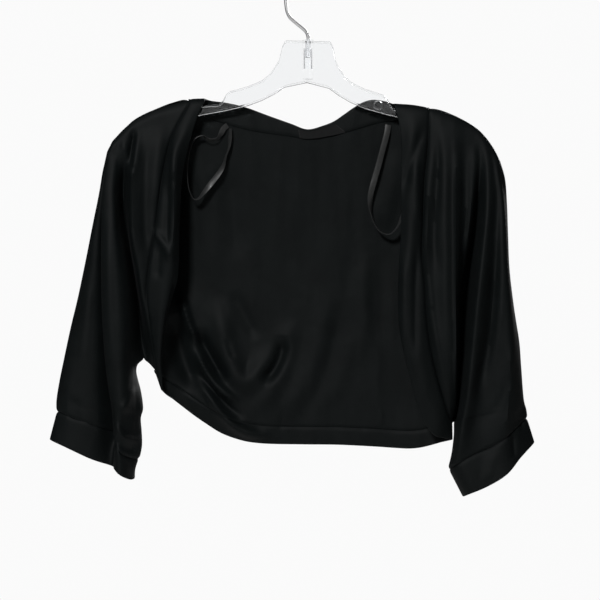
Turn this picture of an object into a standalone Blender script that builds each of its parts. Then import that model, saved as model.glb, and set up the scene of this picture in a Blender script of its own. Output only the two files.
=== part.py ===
"""A black jersey bolero with three-quarter sleeves, hanging open on a clear moulded hanger.

Left and right are as seen from the front. The tables give millimetres as (across, down, depth):
across is +X to the right, down is measured below the point where the hook bears on its rail,
and depth is +Y away from the viewer. The model itself is in metres with +Z up.
"""

import math
from collections import namedtuple

import bmesh
import bpy
from mathutils import Vector

MM = 0.001
PANEL_WALL = 1.5
BAND_WALL = 2.0
TRIM_WALL = 0.9
SEAM_GAP = 0.7
# Wider where the two walls meet at an angle, so that their inner corners stay apart.
ANGLED_SEAM_GAP = 1.1
# Half the distance between the middles of two walls that lie side by side at a pressed seam.
SEAM_HALF = 0.95
CLOTH_BLACK = (0.012, 0.012, 0.014, 1.0)
SATIN_BLACK = (0.05, 0.05, 0.055, 1.0)
LABEL_GREY = (0.03, 0.03, 0.034, 1.0)
PLASTIC_CLEAR = (0.95, 0.96, 0.97, 1.0)
STEEL_GREY = (0.62, 0.62, 0.63, 1.0)

Guide = namedtuple("Guide", "name upper lower")
Fold = namedtuple("Fold", "name rise half_width path")

# Shoulder line of the cloth, from the neck out to the end of the hanger.
SHOULDER_LEFT = (
    (-108.0, 142.2), (-128.0, 142.8), (-146.0, 145.8), (-166.0, 153.8),
    (-187.0, 164.6), (-199.0, 175.6), (-209.5, 187.2), (-215.5, 198.6),
)
SHOULDER_RIGHT = (
    (90.0, 148.0), (104.0, 147.6), (126.8, 150.9), (141.3, 154.2), (157.7, 159.2),
    (174.3, 167.6), (188.8, 177.8), (200.9, 194.2), (208.5, 209.5),
)

# Folded outer edge of each sleeve, where the front and the back meet: upper, then below the underarm.
OUTER_LEFT = Guide(
    "outer_edge",
    ((-215.5, 198.6, 0), (-219, 214, 3), (-224, 241, 5), (-230.4, 272, 7), (-238.7, 313, 9),
     (-248, 357, 10), (-255, 386, 10), (-262.5, 421, 10)),
    ((-262.5, 421, 10), (-268, 448, 10), (-271, 468, 10), (-271, 479, 10)),
)
OUTER_RIGHT = Guide(
    "outer_edge",
    ((208.5, 209.5, 0), (213.5, 227, 3), (215.6, 252, 5), (216.6, 283, 7), (217.6, 324, 9),
     (221.8, 359, 10), (224.9, 379, 10), (229, 404, 10), (231, 431, 10), (234.3, 468, 10)),
    ((234.3, 468, 10), (237, 477, 10), (238.3, 486, 10)),
)

# Underarm seam of each sleeve, from the underarm to the cuff.
INNER_LEFT = (
    (-177, 421, 12), (-184.5, 428, 10), (-186, 435, 9), (-184, 444, 8), (-180.7, 455, 6), (-178, 470, 3),
    (-177.7, 477, 1), (-180, 485, 0), (-179, 500, -1), (-178.5, 515, -2), (-181, 529, -3),
)
INNER_RIGHT = (
    (161, 490, 12), (160.5, 503, 8), (159.3, 512, 4), (156.8, 525, -1), (152.6, 540, -4),
)

# Fold lines of each front, from the band seam out to the sleeve's outer edge.
FRONT_LEFT = (
    Guide("band_seam",
          ((-128, 0, 0), (-146, 182.5, -10), (-154.5, 217, -12), (-163, 276.5, -14), (-168.5, 310, -15),
           (-172.8, 349.5, -14), (-170, 380, -12), (-167, 404, -8), (-165, 424, -2), (-164, 434, 4)), ()),
    Guide("front_ridge",
          ((-168, 0, 0), (-180, 180, -9), (-187, 223.5, -16), (-188, 268, -19), (-186, 301, -19),
           (-182, 336, -18), (-180, 369, -16), (-174.5, 393, -12), (-170, 415, -4), (-168.5, 429, 7)), ()),
    Guide("valley",
          ((-186, 0, 0), (-193, 196.5, -7.5), (-197.6, 229, 0), (-199, 257, 4), (-194, 284, 7),
           (-190.5, 318.6, 9), (-189, 369.4, 10), (-184.7, 402, 10.5), (-177, 421, 10.85)), ()),
    Guide("flank",
          ((-194, 0, 0), (-201, 200, -10), (-203, 240, -12), (-200, 284, -10), (-196.5, 318, -8),
           (-194, 358, -6), (-192, 392, -2), (-188.5, 421, 2)),
          ((-188.5, 421, 2), (-187, 450, -10), (-186, 480, -16), (-190, 528, -18))),
    Guide("peak",
          ((-200, 0, 0), (-208, 205, -10), (-211, 240, -22), (-211, 284, -30), (-210, 318, -34),
           (-209, 358, -36), (-207, 392, -36), (-205, 421, -35)),
          ((-205, 421, -35), (-203, 450, -34), (-202, 485, -34), (-203, 520, -33))),
    Guide("edge",
          ((-205, 0, 0), (-214, 210, -9.5), (-219, 240, -20), (-219.5, 284, -26), (-219.5, 318, -30),
           (-219, 358, -30), (-218, 392, -30), (-216, 421, -28)),
          ((-216, 421, -28), (-215, 450, -27), (-213, 480, -26), (-211, 505, -25))),
    Guide("tuck",
          ((-209.5, 0, 0), (-216.5, 212, -7.5), (-217, 245, -12), (-215, 284, -12), (-213, 318, -10),
           (-212, 358, -8), (-212, 392, -8), (-211.5, 421, -8)),
          ((-211.5, 421, -8), (-212, 450, -8), (-213, 480, -9), (-215, 500, -10))),
    Guide("strip_inner",
          ((-212.5, 0, 0), (-218, 216, -5), (-221, 245, -7), (-223, 284, -5), (-226, 318, -3),
           (-228, 358, -2), (-230, 392, -2), (-231.5, 421, -2)),
          ((-231.5, 421, -2), (-232, 450, -2), (-232, 493, -3))),
    Guide("strip_outer",
          ((-214.3, 0, 0), (-219.5, 217, -2), (-223.5, 247, -5), (-230, 284, -4), (-234, 318, -3),
           (-240, 358, -2), (-246, 392, -2), (-250.5, 421, -2)),
          ((-250.5, 421, -2), (-255, 450, -2), (-258, 483.5, -2))),
)
FRONT_RIGHT = (
    Guide("band_seam",
          ((131.8, 0, 0), (129.2, 200, -10), (125.8, 233, -12), (124.2, 276.5, -14), (123.1, 310, -15),
           (126.4, 343, -16), (127.9, 371.5, -16), (132.8, 412.6, -16), (141.5, 449.3, -12),
           (149.5, 474, -6), (155.8, 489, 1)), ()),
    Guide("front_ridge",
          ((146.9, 0, 0), (145.4, 191, -15), (145, 280, -21), (145.4, 360, -22), (146, 416, -22),
           (151.2, 453, -16), (155.5, 474, -6), (158, 487, 4.5)), ()),
    Guide("front_edge",
          ((162, 0, 0), (160, 191, -13), (159.6, 260, -18), (159.3, 358, -20), (160, 430, -16),
           (160.5, 468, -6), (160, 487.5, 8)), ()),
    Guide("valley",
          ((184.5, 0, 0), (184.5, 207, -7.5), (182.5, 268, 5), (177, 319, 9), (173.9, 369, 10),
           (171.7, 390, 10), (167, 433, 9), (165, 468, 9), (161, 490, 10.85)), ()),
    Guide("sleeve_ridge",
          ((193, 0, 0), (194.4, 216, -14), (191, 284, -24), (184.4, 336, -28), (181, 369, -30),
           (175.5, 416, -30), (171.7, 458, -30), (168, 485, -28)),
          ((168, 485, -28), (164, 510, -27), (160, 535, -22))),
    Guide("sleeve_trough",
          ((198.5, 0, 0), (204, 250, -10), (203, 318, -14), (197.6, 369, -16), (194, 416, -16),
           (186.8, 449, -16), (183, 482, -17)),
          ((183, 482, -17), (181, 503, -19), (181.4, 524, -20))),
    Guide("outer_ridge",
          ((203, 0, 0), (209.5, 250, -12), (213.5, 318, -20), (216.5, 359, -24), (217, 416, -26),
           (215.5, 450, -26), (213, 478, -25)),
          ((213, 478, -25), (211, 495, -23), (210.6, 510, -22))),
    Guide("outer_turn",
          ((206, 0, 0), (212, 240, -5), (215.6, 283, -6), (217.6, 324, -7), (221, 359, -8),
           (226, 404, -8), (228.5, 440, -8), (229, 472, -8)),
          ((229, 472, -8), (226.5, 485, -9), (224, 498, -11))),
)

# Lines down the back, from the left sleeve to the right one. The first and last rows' heights come
# from the shoulders, the neck band and the hem band where the table gives none.
BACK_SLEEVE_LEFT = (
    Guide("outer_turn",
          ((-212.5, 0, 0), (-218, 222, 11), (-226, 260, 15), (-236, 313, 19), (-246, 370, 21),
           (-250, 421, 21)),
          ((-250, 421, 21), (-252, 455, 21), (-255, 485, 20))),
    Guide("outer",
          ((-206, 0, 0), (-210, 222, 14), (-214, 270, 20), (-220, 330, 25), (-224, 380, 26), (-226, 421, 26)),
          ((-226, 421, 26), (-227, 460, 26), (-229, 494, 24))),
    Guide("inner",
          ((-197, 0, 0), (-200, 222, 14), (-202, 280, 20), (-203, 350, 24), (-203, 421, 22)),
          ((-203, 421, 22), (-203, 460, 21), (-205, 512, 16))),
)
BACK_UNDERARM_LEFT = ((-184, 0, 0), (-187, 220, 14), (-188, 300, 20), (-186, 370, 22), (-177, 421, 13.15))
BACK_BODY = (
    Guide("side_left", ((-160, 0, 0), (-160, 200, 14), (-160, 300, 22), (-160, 370, 24), (-160, 410, 22)),
          ((-160, 410, 22), (-158, 0, 0))),
    Guide("left_1", ((-144, 0, 0), (-144, 200, 14), (-144, 300, 23), (-144, 360, 25), (-144, 400, 25)),
          ((-144, 400, 25), (-143, 0, 0))),
    Guide("left_2", ((-130, 0, 0), (-128, 200, 14), (-128, 300, 23), (-128, 360, 26), (-129, 398, 26)),
          ((-129, 398, 26), (-128, 0, 0))),
    Guide("left_3", ((-115, 0, 0), (-114, 210, 15), (-114, 300, 23), (-114, 360, 26), (-114, 398, 26)),
          ((-114, 398, 26), (-112, 0, 0))),
    Guide("left_4", ((-99, 0, 0), (-98, 220, 15), (-98, 300, 22), (-98, 360, 26), (-98, 398, 26)),
          ((-98, 398, 26), (-97, 0, 0))),
    Guide("left_5", ((-82, 0, 0), (-82, 230, 16), (-82, 300, 22), (-81, 360, 25), (-81, 398, 26)),
          ((-81, 398, 26), (-80, 0, 0))),
    Guide("left_6", ((-64, 0, 0), (-64, 240, 16), (-63, 300, 21), (-63, 360, 24), (-63, 398, 26)),
          ((-63, 398, 26), (-62, 0, 0))),
    Guide("left_7", ((-45, 0, 0), (-45, 250, 17), (-45, 300, 21), (-45, 360, 24), (-45, 398, 26)),
          ((-45, 398, 26), (-44, 0, 0))),
    Guide("centre_1", ((-25, 0, 0), (-25, 250, 17), (-25, 300, 21), (-25, 360, 24), (-25, 398, 25)),
          ((-25, 398, 25), (-25, 0, 0))),
    Guide("centre_2", ((-4, 0, 0), (-4, 250, 17), (-4, 300, 21), (-4, 360, 23), (-4, 398, 25)),
          ((-4, 398, 25), (-4, 0, 0))),
    Guide("centre_3", ((20, 0, 0), (20, 250, 17), (20, 300, 21), (20, 360, 23), (20, 398, 25)),
          ((20, 398, 25), (20, 0, 0))),
    Guide("right_1", ((50, 0, 0), (50, 250, 17), (50, 300, 20), (50, 360, 23), (50, 400, 25)),
          ((50, 400, 25), (50, 0, 0))),
    Guide("right_2", ((80, 0, 0), (80, 230, 15), (80, 300, 20), (80, 370, 23), (81, 410, 24)),
          ((81, 410, 24), (82, 0, 0))),
    Guide("right_3", ((112, 0, 0), (112, 220, 14), (112, 300, 20), (112, 380, 22), (112, 430, 23)),
          ((112, 430, 23), (112, 0, 0))),
    Guide("right_4", ((133.5, 0, 0), (133, 220, 14), (132, 300, 20), (133, 380, 22), (134, 450, 22)),
          ((134, 450, 22), (134, 0, 0))),
    Guide("side_right", ((158, 0, 0), (158, 220, 14), (157, 300, 20), (155, 380, 22), (150, 470, 20)),
          ((150, 470, 20), (148, 0, 0))),
)
BACK_UNDERARM_RIGHT = ((184.5, 0, 0), (185.5, 240, 14), (182, 320, 20), (173, 420, 20), (161, 490, 13.15))
# Short side seams of the body, from each underarm down to the hem.
SIDE_SEAM_LEFT = (BACK_UNDERARM_LEFT[-1], (-170, 428, 14), (-164.5, 433.4, 12.2))
SIDE_SEAM_RIGHT = (BACK_UNDERARM_RIGHT[-1], (159.5, 490.5, 12.5), (158.5, 490.6, 11.5))
# How many lines at each side of the back's body start on the shoulder and not at the neck.
SHOULDER_LINES = 1

# Folds raised on the back: rise towards the viewer (negative sinks), half width, then (across, down).
BACK_FOLDS = (
    Fold("tube_fold", 9.0, 10.0,
         ((-92, 352), (-89.6, 391), (-85.3, 423), (-79, 445), (-72, 455), (-61, 452), (-50, 439),
          (-42, 418))),
    Fold("wedge_hollow", -6.0, 7.0, ((-124, 385), (-113, 409), (-102, 429), (-92, 447))),
    Fold("crescent_hollow", -7.0, 7.0, ((-33, 400), (-34.6, 418), (-41, 435), (-52, 452), (-67, 465))),
    Fold("outer_swoop", 9.0, 8.0, ((-125, 418), (-121, 441), (-113, 459), (-103, 473), (-90, 485))),
    Fold("left_lip", 6.0, 7.0, ((-140, 345), (-136, 370), (-132, 388), (-128, 405), (-128, 425))),
    Fold("inner_swoop", 6.0, 11.0, ((-17, 375), (-24, 412), (-33, 445), (-48, 470), (-66, 485))),
    Fold("diagonal", 5.5, 13.0, ((26, 340), (20, 380), (9, 425), (-4, 458), (-18, 488))),
    Fold("diagonal_hollow", -3.5, 8.0, ((36, 370), (31, 405), (20, 437), (9, 466), (-3, 492))),
)
BACK_SLEEVE_RIGHT = (
    Guide("inner",
          ((194, 0, 0), (196, 240, 14), (196, 320, 20), (192, 400, 22), (187, 487, 20)),
          ((187, 487, 20), (183, 503, 18), (176, 527, 14))),
    Guide("outer",
          ((201.5, 0, 0), (206, 250, 14), (209, 330, 20), (211, 400, 24), (210, 482, 23)),
          ((210, 482, 23), (205, 498, 21), (200, 514, 19))),
    Guide("outer_turn",
          ((205.5, 0, 0), (212, 260, 12), (215.5, 330, 17), (221, 400, 20), (226, 474, 18)),
          ((226, 474, 18), (226, 486, 18), (224, 496, 17))),
)

# Cut edges of the folded bands: each pair of lines has the free edge and the seam to the panel.
BAND_LEFT = (
    ((-111, 142.1, -1.3), (-111.3, 143, -5), (-112.5, 147, -8.4), (-120, 164, -9.5), (-134, 217, -11),
     (-138, 276.5, -13), (-140.4, 336, -13), (-144.7, 350, -9), (-152, 378, -4), (-156, 404, 0),
     (-157.5, 424, 2), (-157, 454.5, 5)),
    ((-119.5, 142.3, -1.3), (-120, 143.2, -5), (-121.5, 147, -8.6), (-130.7, 175, -13), (-139.3, 197, -18),
     (-143.6, 229, -21), (-144.7, 276.5, -22), (-148, 315, -22), (-150, 348, -20), (-155.5, 378, -17),
     (-158.5, 404, -11), (-160, 424.4, -4), (-160.5, 444, 4.5)),
)
BAND_RIGHT = (
    ((95, 147.6, -1.3), (95.2, 148.5, -5), (96, 152.5, -8.4), (99.4, 165, -9.5), (102.6, 189, -11),
     (102, 233, -13), (102, 284, -14), (99.4, 327, -15), (98.7, 369.4, -15), (101.5, 398.5, -15),
     (110, 436.3, -13), (117.7, 466.6, -10), (126.4, 488, -7), (138.2, 504, -3), (148, 506.5, 0),
     (156.3, 508.5, 2)),
    ((113.5, 148.9, -1.3), (113.7, 149.8, -5), (114, 154, -8.6), (115, 190, -16), (113, 233, -19),
     (112, 284, -21), (110, 327, -22), (111, 369, -22), (114, 400, -22), (124, 440, -19), (135, 470, -13),
     (145, 487, -7), (156.2, 499, 1.5)),
)
NECK_FREE_EDGE = (
    (-111, 142.2, 1.4), (-107, 143.2, 6.8), (-100, 144.3, 8), (-89, 145.8, 9), (-68, 150.6, 10),
    (-40.7, 160.5, 10.5), (-16.6, 169, 10.5), (0.5, 174.7, 10.5), (17.8, 170.6, 10.5),
    (29.9, 165.7, 10.5), (40.2, 158.8, 10), (51.4, 151, 10), (62.6, 144.7, 9.5), (72.9, 142.6, 9),
    (85, 144.5, 8), (91, 147, 7), (95, 147.8, 1.4),
)
NECK_SEAM = (
    (-128, 142.9, 1.4), (-125, 147, 7.2), (-114, 157, 9), (-104, 163.5, 9.5), (-90, 168, 10),
    (-64, 175, 10.5), (-40, 179, 11), (-18, 182, 11), (0, 184.7, 11), (25, 181.5, 11), (41, 178, 11),
    (62.6, 171.7, 10.5), (79, 167, 10), (95, 164.5, 9.5), (112, 160, 8.8), (123.3, 156.4, 7.4),
    (131.8, 151.6, 1.4),
)
HEM_SEAM = (
    (-164, 434.3, 6.8), (-163, 438, 12), (-158, 441.5, 17), (-150, 446.5, 21), (-140, 453.5, 24),
    (-125, 464.5, 22), (-108, 475.5, 19), (-92, 484.5, 19), (-75, 490.7, 20), (-60, 494, 22),
    (-40, 496, 24), (-7, 496.6, 25), (33, 497, 25), (75, 499, 24.5), (96, 500.5, 24), (112, 501, 23),
    (126, 499.5, 21), (140, 496, 19), (150, 493.5, 16), (155.3, 491.5, 9), (156, 489.5, 3.8),
)
HEM_FREE_EDGE = (
    (-157, 455, 6.8), (-156, 456.5, 12), (-151.7, 461, 18), (-146, 465, 22), (-141.5, 468.7, 24),
    (-125, 481.5, 27), (-108.4, 493, 27.5), (-94, 502, 27.5), (-77.4, 508.4, 27), (-63, 512, 27),
    (-42, 514, 27), (-7.6, 514.6, 26.5), (33.5, 515, 26), (75, 517, 25.5), (95.8, 518.4, 25),
    (112.3, 519, 24), (124.6, 517.6, 22), (135, 515, 20), (145, 512, 16), (154.5, 509.5, 9),
    (156.3, 508.7, 3.8),
)

# Each cuff's section at its free edge, in the order of the sleeve's own lines, from the outer edge
# through the front to the underarm and back along the rear.
CUFF_LEFT_HEM = (
    (-277.5, 509, 10), (-259, 517.3, -2), (-234.4, 528.7, -4), (-215, 536, -10), (-210.5, 539, -24),
    (-201, 545, -30), (-190.5, 550.5, -18), (-187, 549, -4), (-206, 536, 15), (-228, 526, 23),
    (-255, 515, 20),
)
CUFF_RIGHT_HEM = (
    (245, 512, 10), (229, 528, -12), (214, 545, -24), (192.9, 558, -23), (174.3, 566, -20),
    (168.5, 569, -5), (184, 557, 12), (206, 542, 18), (230, 523, 16),
)

# Route of each satin hanger loop, from one sewn end to the other.
LOOP_LEFT = (
    (-86, 169.5, 8), (-90, 173, 6.5), (-93.5, 179.3, 5), (-97, 184.4, 4), (-105.8, 185.8, 3),
    (-112.8, 181.5, 2), (-121, 185, 2), (-127, 200, 2), (-129, 222, 3), (-127, 240, 4), (-122, 249.5, 5),
    (-117.7, 248.8, 5), (-112.3, 243, 5), (-104.8, 234.4, 6), (-99.4, 226.8, 6), (-91, 214.6, 7),
    (-87.5, 201.4, 7), (-82.5, 191.2, 7.5), (-82, 182.5, 7.5), (-80, 173, 8),
)
LOOP_RIGHT = (
    (86.4, 169, 8.6), (86.4, 178, 6.9), (81.5, 195.5, 6), (76.4, 216, 6), (70.2, 235.4, 7), (67, 246, 8),
    (68.6, 258, 9), (72, 271, 10), (76.4, 282, 10), (81, 288.5, 9), (89.6, 291, 6), (97.2, 283, 3),
    (101.3, 268, 1), (103.7, 240, 0), (103.5, 207, 2), (101.5, 186, 5), (99.5, 169, 8.0),
)
LOOP_WIDTH = 6.0

LABEL_FROM, LABEL_TO = 0.478, 0.66
LABEL_WIDTH_SHARE = (0.15, 0.95)
LABEL_CLEARANCE = 0.3
# Rows along the neck's lines from which the label is made; it uses every second one.
LABEL_LINE_ROWS = 112

# Clear hanger: heights of the top and bottom edges at distances from the middle, before it tilts.
HANGER_TOP = (
    (0, 79), (24, 79), (27, 84), (31, 101.5), (40, 115.6), (48.6, 123), (63.7, 129.6), (83, 135.5), (87, 139),
    (90, 145.5), (94, 150), (104, 151), (128, 153.8), (146, 157.6), (166, 164.4), (187, 176.6), (199, 190.6),
    (205, 200.5),
)
HANGER_BOTTOM = (
    (0, 124), (24, 129.6), (34.6, 137), (48.6, 144.7), (63.7, 150.7), (88.6, 157), (120, 163.6),
    (150, 172.5), (175, 184), (190, 194.5), (199, 203), (205, 207),
)
HANGER_STEPS = (0, 12, 23, 25, 27, 29, 31, 35, 40, 48, 56, 64, 74, 83, 87, 90, 94, 104, 116, 128, 140, 152,
                166, 177, 187, 193, 199, 205)
HANGER_TILT = math.radians(1.4)
HANGER_FLANGE_HALF = 4.6
HANGER_FLANGE = 2.0
HANGER_WEB_HALF = 1.25

BARREL_RADIUS = 5.6
BARREL_SIDES = 24
BARREL_RISE = 1.5
BARREL_BOTTOM = 120.0
NECK_BORE_RADIUS = 2.1
NECK_BORE_DEPTH = 8.0
CHAMBER_RADIUS = 3.4
CHAMBER_DEPTH = 30.0
# How far a cutter runs past the face that it opens.
CUTTER_OVERRUN = 10.0

HOOK_WIRE_RADIUS = 1.7
HOOK_HEAD_RADIUS = 3.0
HOOK_TIP_RADIUS = 2.3
HOOK_TIP_END_RADIUS = 1.4
HOOK_RADIUS = 24.0
HOOK_MIDDLE = 1.0
HOOK_LEAD = (
    (HOOK_MIDDLE, 80), (0.6, 76), (-1.5, 72), (-8.6, 65.9), (-17.3, 57), (-21.6, 45.4), (-23, 34.6),
)
HOOK_ARC_FROM, HOOK_ARC_TO = math.radians(184), math.radians(-34)
HOOK_ARC_STEPS = 22
HOOK_LEAD_STEPS = 16
HOOK_HEAD_LENGTH = 9.5
HOOK_HEAD_PLAY = 0.5
HOOK_HEAD_EDGE = 0.4
# The swollen tip: steps on from the end of the arc (across, down), and the radius there.
HOOK_TIP = ((-0.3, 0.6, HOOK_TIP_RADIUS), (-1.6, 2.2, HOOK_TIP_RADIUS), (-2.0, 2.7, HOOK_TIP_END_RADIUS))

# How many of each front's fold lines belong to the body, before the slit under the arm.
BODY_LINES_LEFT, BODY_LINES_RIGHT = 3, 4
PANEL_ROWS_UPPER = 18
PANEL_ROWS_LOWER = 9
COLUMNS_BETWEEN = 2
CURVE_STEPS = 8
MEETING_STEPS = 160
NECK_ROWS = 28
HEM_ROWS = 40
CUFF_ROWS = 3
LOOP_ROWS = 34
SHOULDER_ROLL = ((0.9, 4.6), (4.5, 7.6))
SHOULDER_ROWS = (3.6, 8.2)


def at(across, down, depth):
    """The point in metres, with +Z up."""
    return Vector((across, depth, -down)) * MM


def spline(points, count, lead=()):
    """Count points, evenly spaced after the lead, on a Catmull-Rom curve through the given ones."""
    points = [Vector(point) for point in points]
    ends = [2 * points[0] - points[1]] + points + [2 * points[-1] - points[-2]]
    fine = []
    for p0, p1, p2, p3 in zip(ends, ends[1:], ends[2:], ends[3:]):
        fine += [curve_point(p0, p1, p2, p3, step / CURVE_STEPS) for step in range(CURVE_STEPS)]
    fine.append(points[-1])
    start = lead[-1] if lead else 0.0
    rest = count - len(lead) - 1
    length = distances(fine)[-1]
    wanted = ((0.0,) + tuple(lead))[: len(lead)]
    wanted += tuple(start + (length - start) * step / rest for step in range(rest + 1))
    return place(fine, wanted)


def distances(points):
    """How far each point is along the line from the first."""
    lengths = [0.0]
    for a, b in zip(points, points[1:]):
        lengths.append(lengths[-1] + (b - a).length)
    return lengths


def place(points, wanted):
    """Points at the wanted distances along the straight runs between the given ones."""
    lengths = distances(points)
    found = []
    run = 0
    for distance in wanted:
        while run < len(points) - 2 and lengths[run + 1] < distance:
            run += 1
        share = (distance - lengths[run]) / (lengths[run + 1] - lengths[run])
        found.append(points[run].lerp(points[run + 1], share))
    return found


def height_at(table, across):
    """Linear value of a table of (across, value, ...) rows at one place across."""
    rows = sorted(table)
    for (x0, *v0), (x1, *v1) in zip(rows, rows[1:]):
        if x0 <= across <= x1:
            share = (across - x0) / (x1 - x0)
            return [a + (b - a) * share for a, b in zip(v0, v1)]
    return list(rows[0][1:] if across < rows[0][0] else rows[-1][1:])


def shoulder_start(across, side):
    """First points of a line that starts over the hanger: side is -1 on the front and +1 on the back."""
    table = SHOULDER_LEFT if across < 0 else SHOULDER_RIGHT
    top = height_at(table, across)[0]
    start = [(across, top, side * SEAM_HALF)]
    return start + [(across, top + down, side * out) for down, out in SHOULDER_ROLL]


def front_line(guide):
    """A front's fold line with its start on the shoulder."""
    across = guide.upper[0][0]
    return Guide(guide.name, tuple(shoulder_start(across, -1)) + guide.upper[1:], guide.lower)


def edge_line(guide, side):
    """The sleeve's outer edge on the front (-1) or the back (+1), beside the other's."""
    upper, lower = (
        tuple((x, down, depth + side * SEAM_HALF) for x, down, depth in part)
        for part in (guide.upper, guide.lower)
    )
    return Guide(guide.name, upper, lower)


def rise_of(point, fold):
    """How far one fold lifts a point of the cloth: full on its path, and fading to nothing at its ends."""
    nearest = None
    path = [Vector(spot) for spot in fold.path]
    for index, (a, b) in enumerate(zip(path, path[1:])):
        along = max(0.0, min(1.0, (point - a).dot(b - a) / (b - a).length_squared))
        distance = (point - a.lerp(b, along)).length
        if nearest is None or distance < nearest[0]:
            nearest = (distance, (index + along) / (len(path) - 1))
    distance, share = nearest
    return fold.rise * math.exp(-((distance / fold.half_width) ** 2)) * math.sin(math.pi * share) ** 0.5


def folded(rows, folds):
    """The rows of points with every fold's rise taken off their depth, so that a ridge comes forward."""
    return [
        [point - Vector((0, 0, sum(rise_of(point.xy, fold) for fold in folds))) for point in row]
        for row in rows
    ]


def meeting_line(points):
    """A seam as a fine table of (across, down, depth), for what has to follow it."""
    return tuple(tuple(point) for point in spline(points, MEETING_STEPS))


def snapped(row, seam, gap):
    """A row of points moved onto a seam's line, with the gap below it (or above it, if negative)."""
    found = []
    for point in row:
        down, depth = height_at(seam, point[0])
        found.append(Vector((point[0], down + gap, depth)))
    return found


def seam_line(points, side):
    return tuple((x, down, depth + side * SEAM_HALF) for x, down, depth in points)


def back_start(across):
    """Top of a line of the back: on the shoulder, or just below the neck band's seam."""
    if NECK_SEAM[0][0] < across < NECK_SEAM[-1][0]:
        down, depth = height_at(meeting_line(NECK_SEAM), across)
        return [(across, down + SEAM_GAP, depth)]
    return shoulder_start(across, 1)


def back_line(guide):
    """A line of the back with its top on the shoulder or neck, and its foot above the hem band."""
    upper = tuple(back_start(guide.upper[0][0])) + guide.upper[1:]
    lower = guide.lower
    if lower[-1][1] == 0:
        across = lower[-1][0]
        down, depth = height_at(meeting_line(HEM_SEAM), across)
        lower = lower[:-1] + ((across, down - SEAM_GAP, depth),)
    return Guide(guide.name, upper, lower)


def across_lines(lines, between):
    """Rows of points through the same row of every line, with more points between the lines."""
    rows = []
    for row in zip(*lines):
        middle = []
        ends = [2 * row[0] - row[1]] + list(row) + [2 * row[-1] - row[-2]]
        for p0, p1, p2, p3 in zip(ends, ends[1:], ends[2:], ends[3:]):
            for step in range(between):
                middle.append(curve_point(p0, p1, p2, p3, step / between))
        middle.append(row[-1])
        rows.append(middle)
    return rows


def curve_point(p0, p1, p2, p3, share):
    """A point between p1 and p2 on the centripetal Catmull-Rom curve through all four."""
    t1 = max((p1 - p0).length, 1e-6) ** 0.5
    t2 = t1 + max((p2 - p1).length, 1e-6) ** 0.5
    t3 = t2 + max((p3 - p2).length, 1e-6) ** 0.5
    t = t1 + (t2 - t1) * share
    a1 = p0.lerp(p1, t / t1)
    a2 = p1.lerp(p2, (t - t1) / (t2 - t1))
    a3 = p2.lerp(p3, (t - t2) / (t3 - t2))
    b1 = a1.lerp(a2, t / t2)
    b2 = a2.lerp(a3, (t - t1) / (t3 - t1))
    return b1.lerp(b2, (t - t1) / (t2 - t1))


def add_grid(bm, rows, first=None, closed=False):
    """Quads between rows of points in millimetres. First is a row of vertices already in the mesh."""
    made = [] if first is None else [first]
    for row in rows[len(made):]:
        made.append([bm.verts.new(at(*point)) for point in row])
    for above, below in zip(made, made[1:]):
        last = len(above) if closed else len(above) - 1
        for i in range(last):
            j = (i + 1) % len(above)
            bm.faces.new((above[i], below[i], below[j], above[j]))
    return made


def wall(name, bm, thickness, material):
    """An object of the open surface with the wall's thickness, half on each side."""
    bmesh.ops.recalc_face_normals(bm, faces=bm.faces[:])
    mesh = bpy.data.meshes.new(name)
    bm.to_mesh(mesh)
    bm.free()
    mesh.shade_smooth()
    obj = bpy.data.objects.new(name, mesh)
    PART.objects.link(obj)
    solidify = obj.modifiers.new("wall", "SOLIDIFY")
    solidify.thickness = thickness * MM
    solidify.offset = 0.0
    obj.data.materials.append(material)
    return obj


def finish(name, colour, roughness, metallic=0.0, transmission=0.0):
    material = bpy.data.materials.new(name)
    material.use_nodes = True
    shader = material.node_tree.nodes["Principled BSDF"]
    shader.inputs["Base Color"].default_value = colour
    shader.inputs["Roughness"].default_value = roughness
    shader.inputs["Metallic"].default_value = metallic
    shader.inputs["Transmission Weight"].default_value = transmission
    return material


def sampled(lines, part):
    """Every line's points for the rows above the underarm, or for those below it."""
    if part == "upper":
        return [spline(line.upper, PANEL_ROWS_UPPER, SHOULDER_ROWS) for line in lines]
    return [spline(line.lower, PANEL_ROWS_LOWER) for line in lines]


def split_panel(name, lines, sleeve_inner, body_lines, material):
    """A front cut in one with its sleeve: the body ends at the underarm and the sleeve runs on."""
    bm = bmesh.new()
    points = sampled(body_lines + lines, "upper")
    points[0] = inset(points[0], points[1])
    made = add_grid(bm, across_lines(points, COLUMNS_BETWEEN))
    first = (len(body_lines) - 1) * COLUMNS_BETWEEN
    inner = Guide("underarm_seam", (), sleeve_inner)
    lower = across_lines(sampled((inner,) + lines, "lower"), COLUMNS_BETWEEN)
    add_grid(bm, lower, first=made[-1][first:])
    return wall(name, bm, PANEL_WALL, material), lower[-1]


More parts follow.
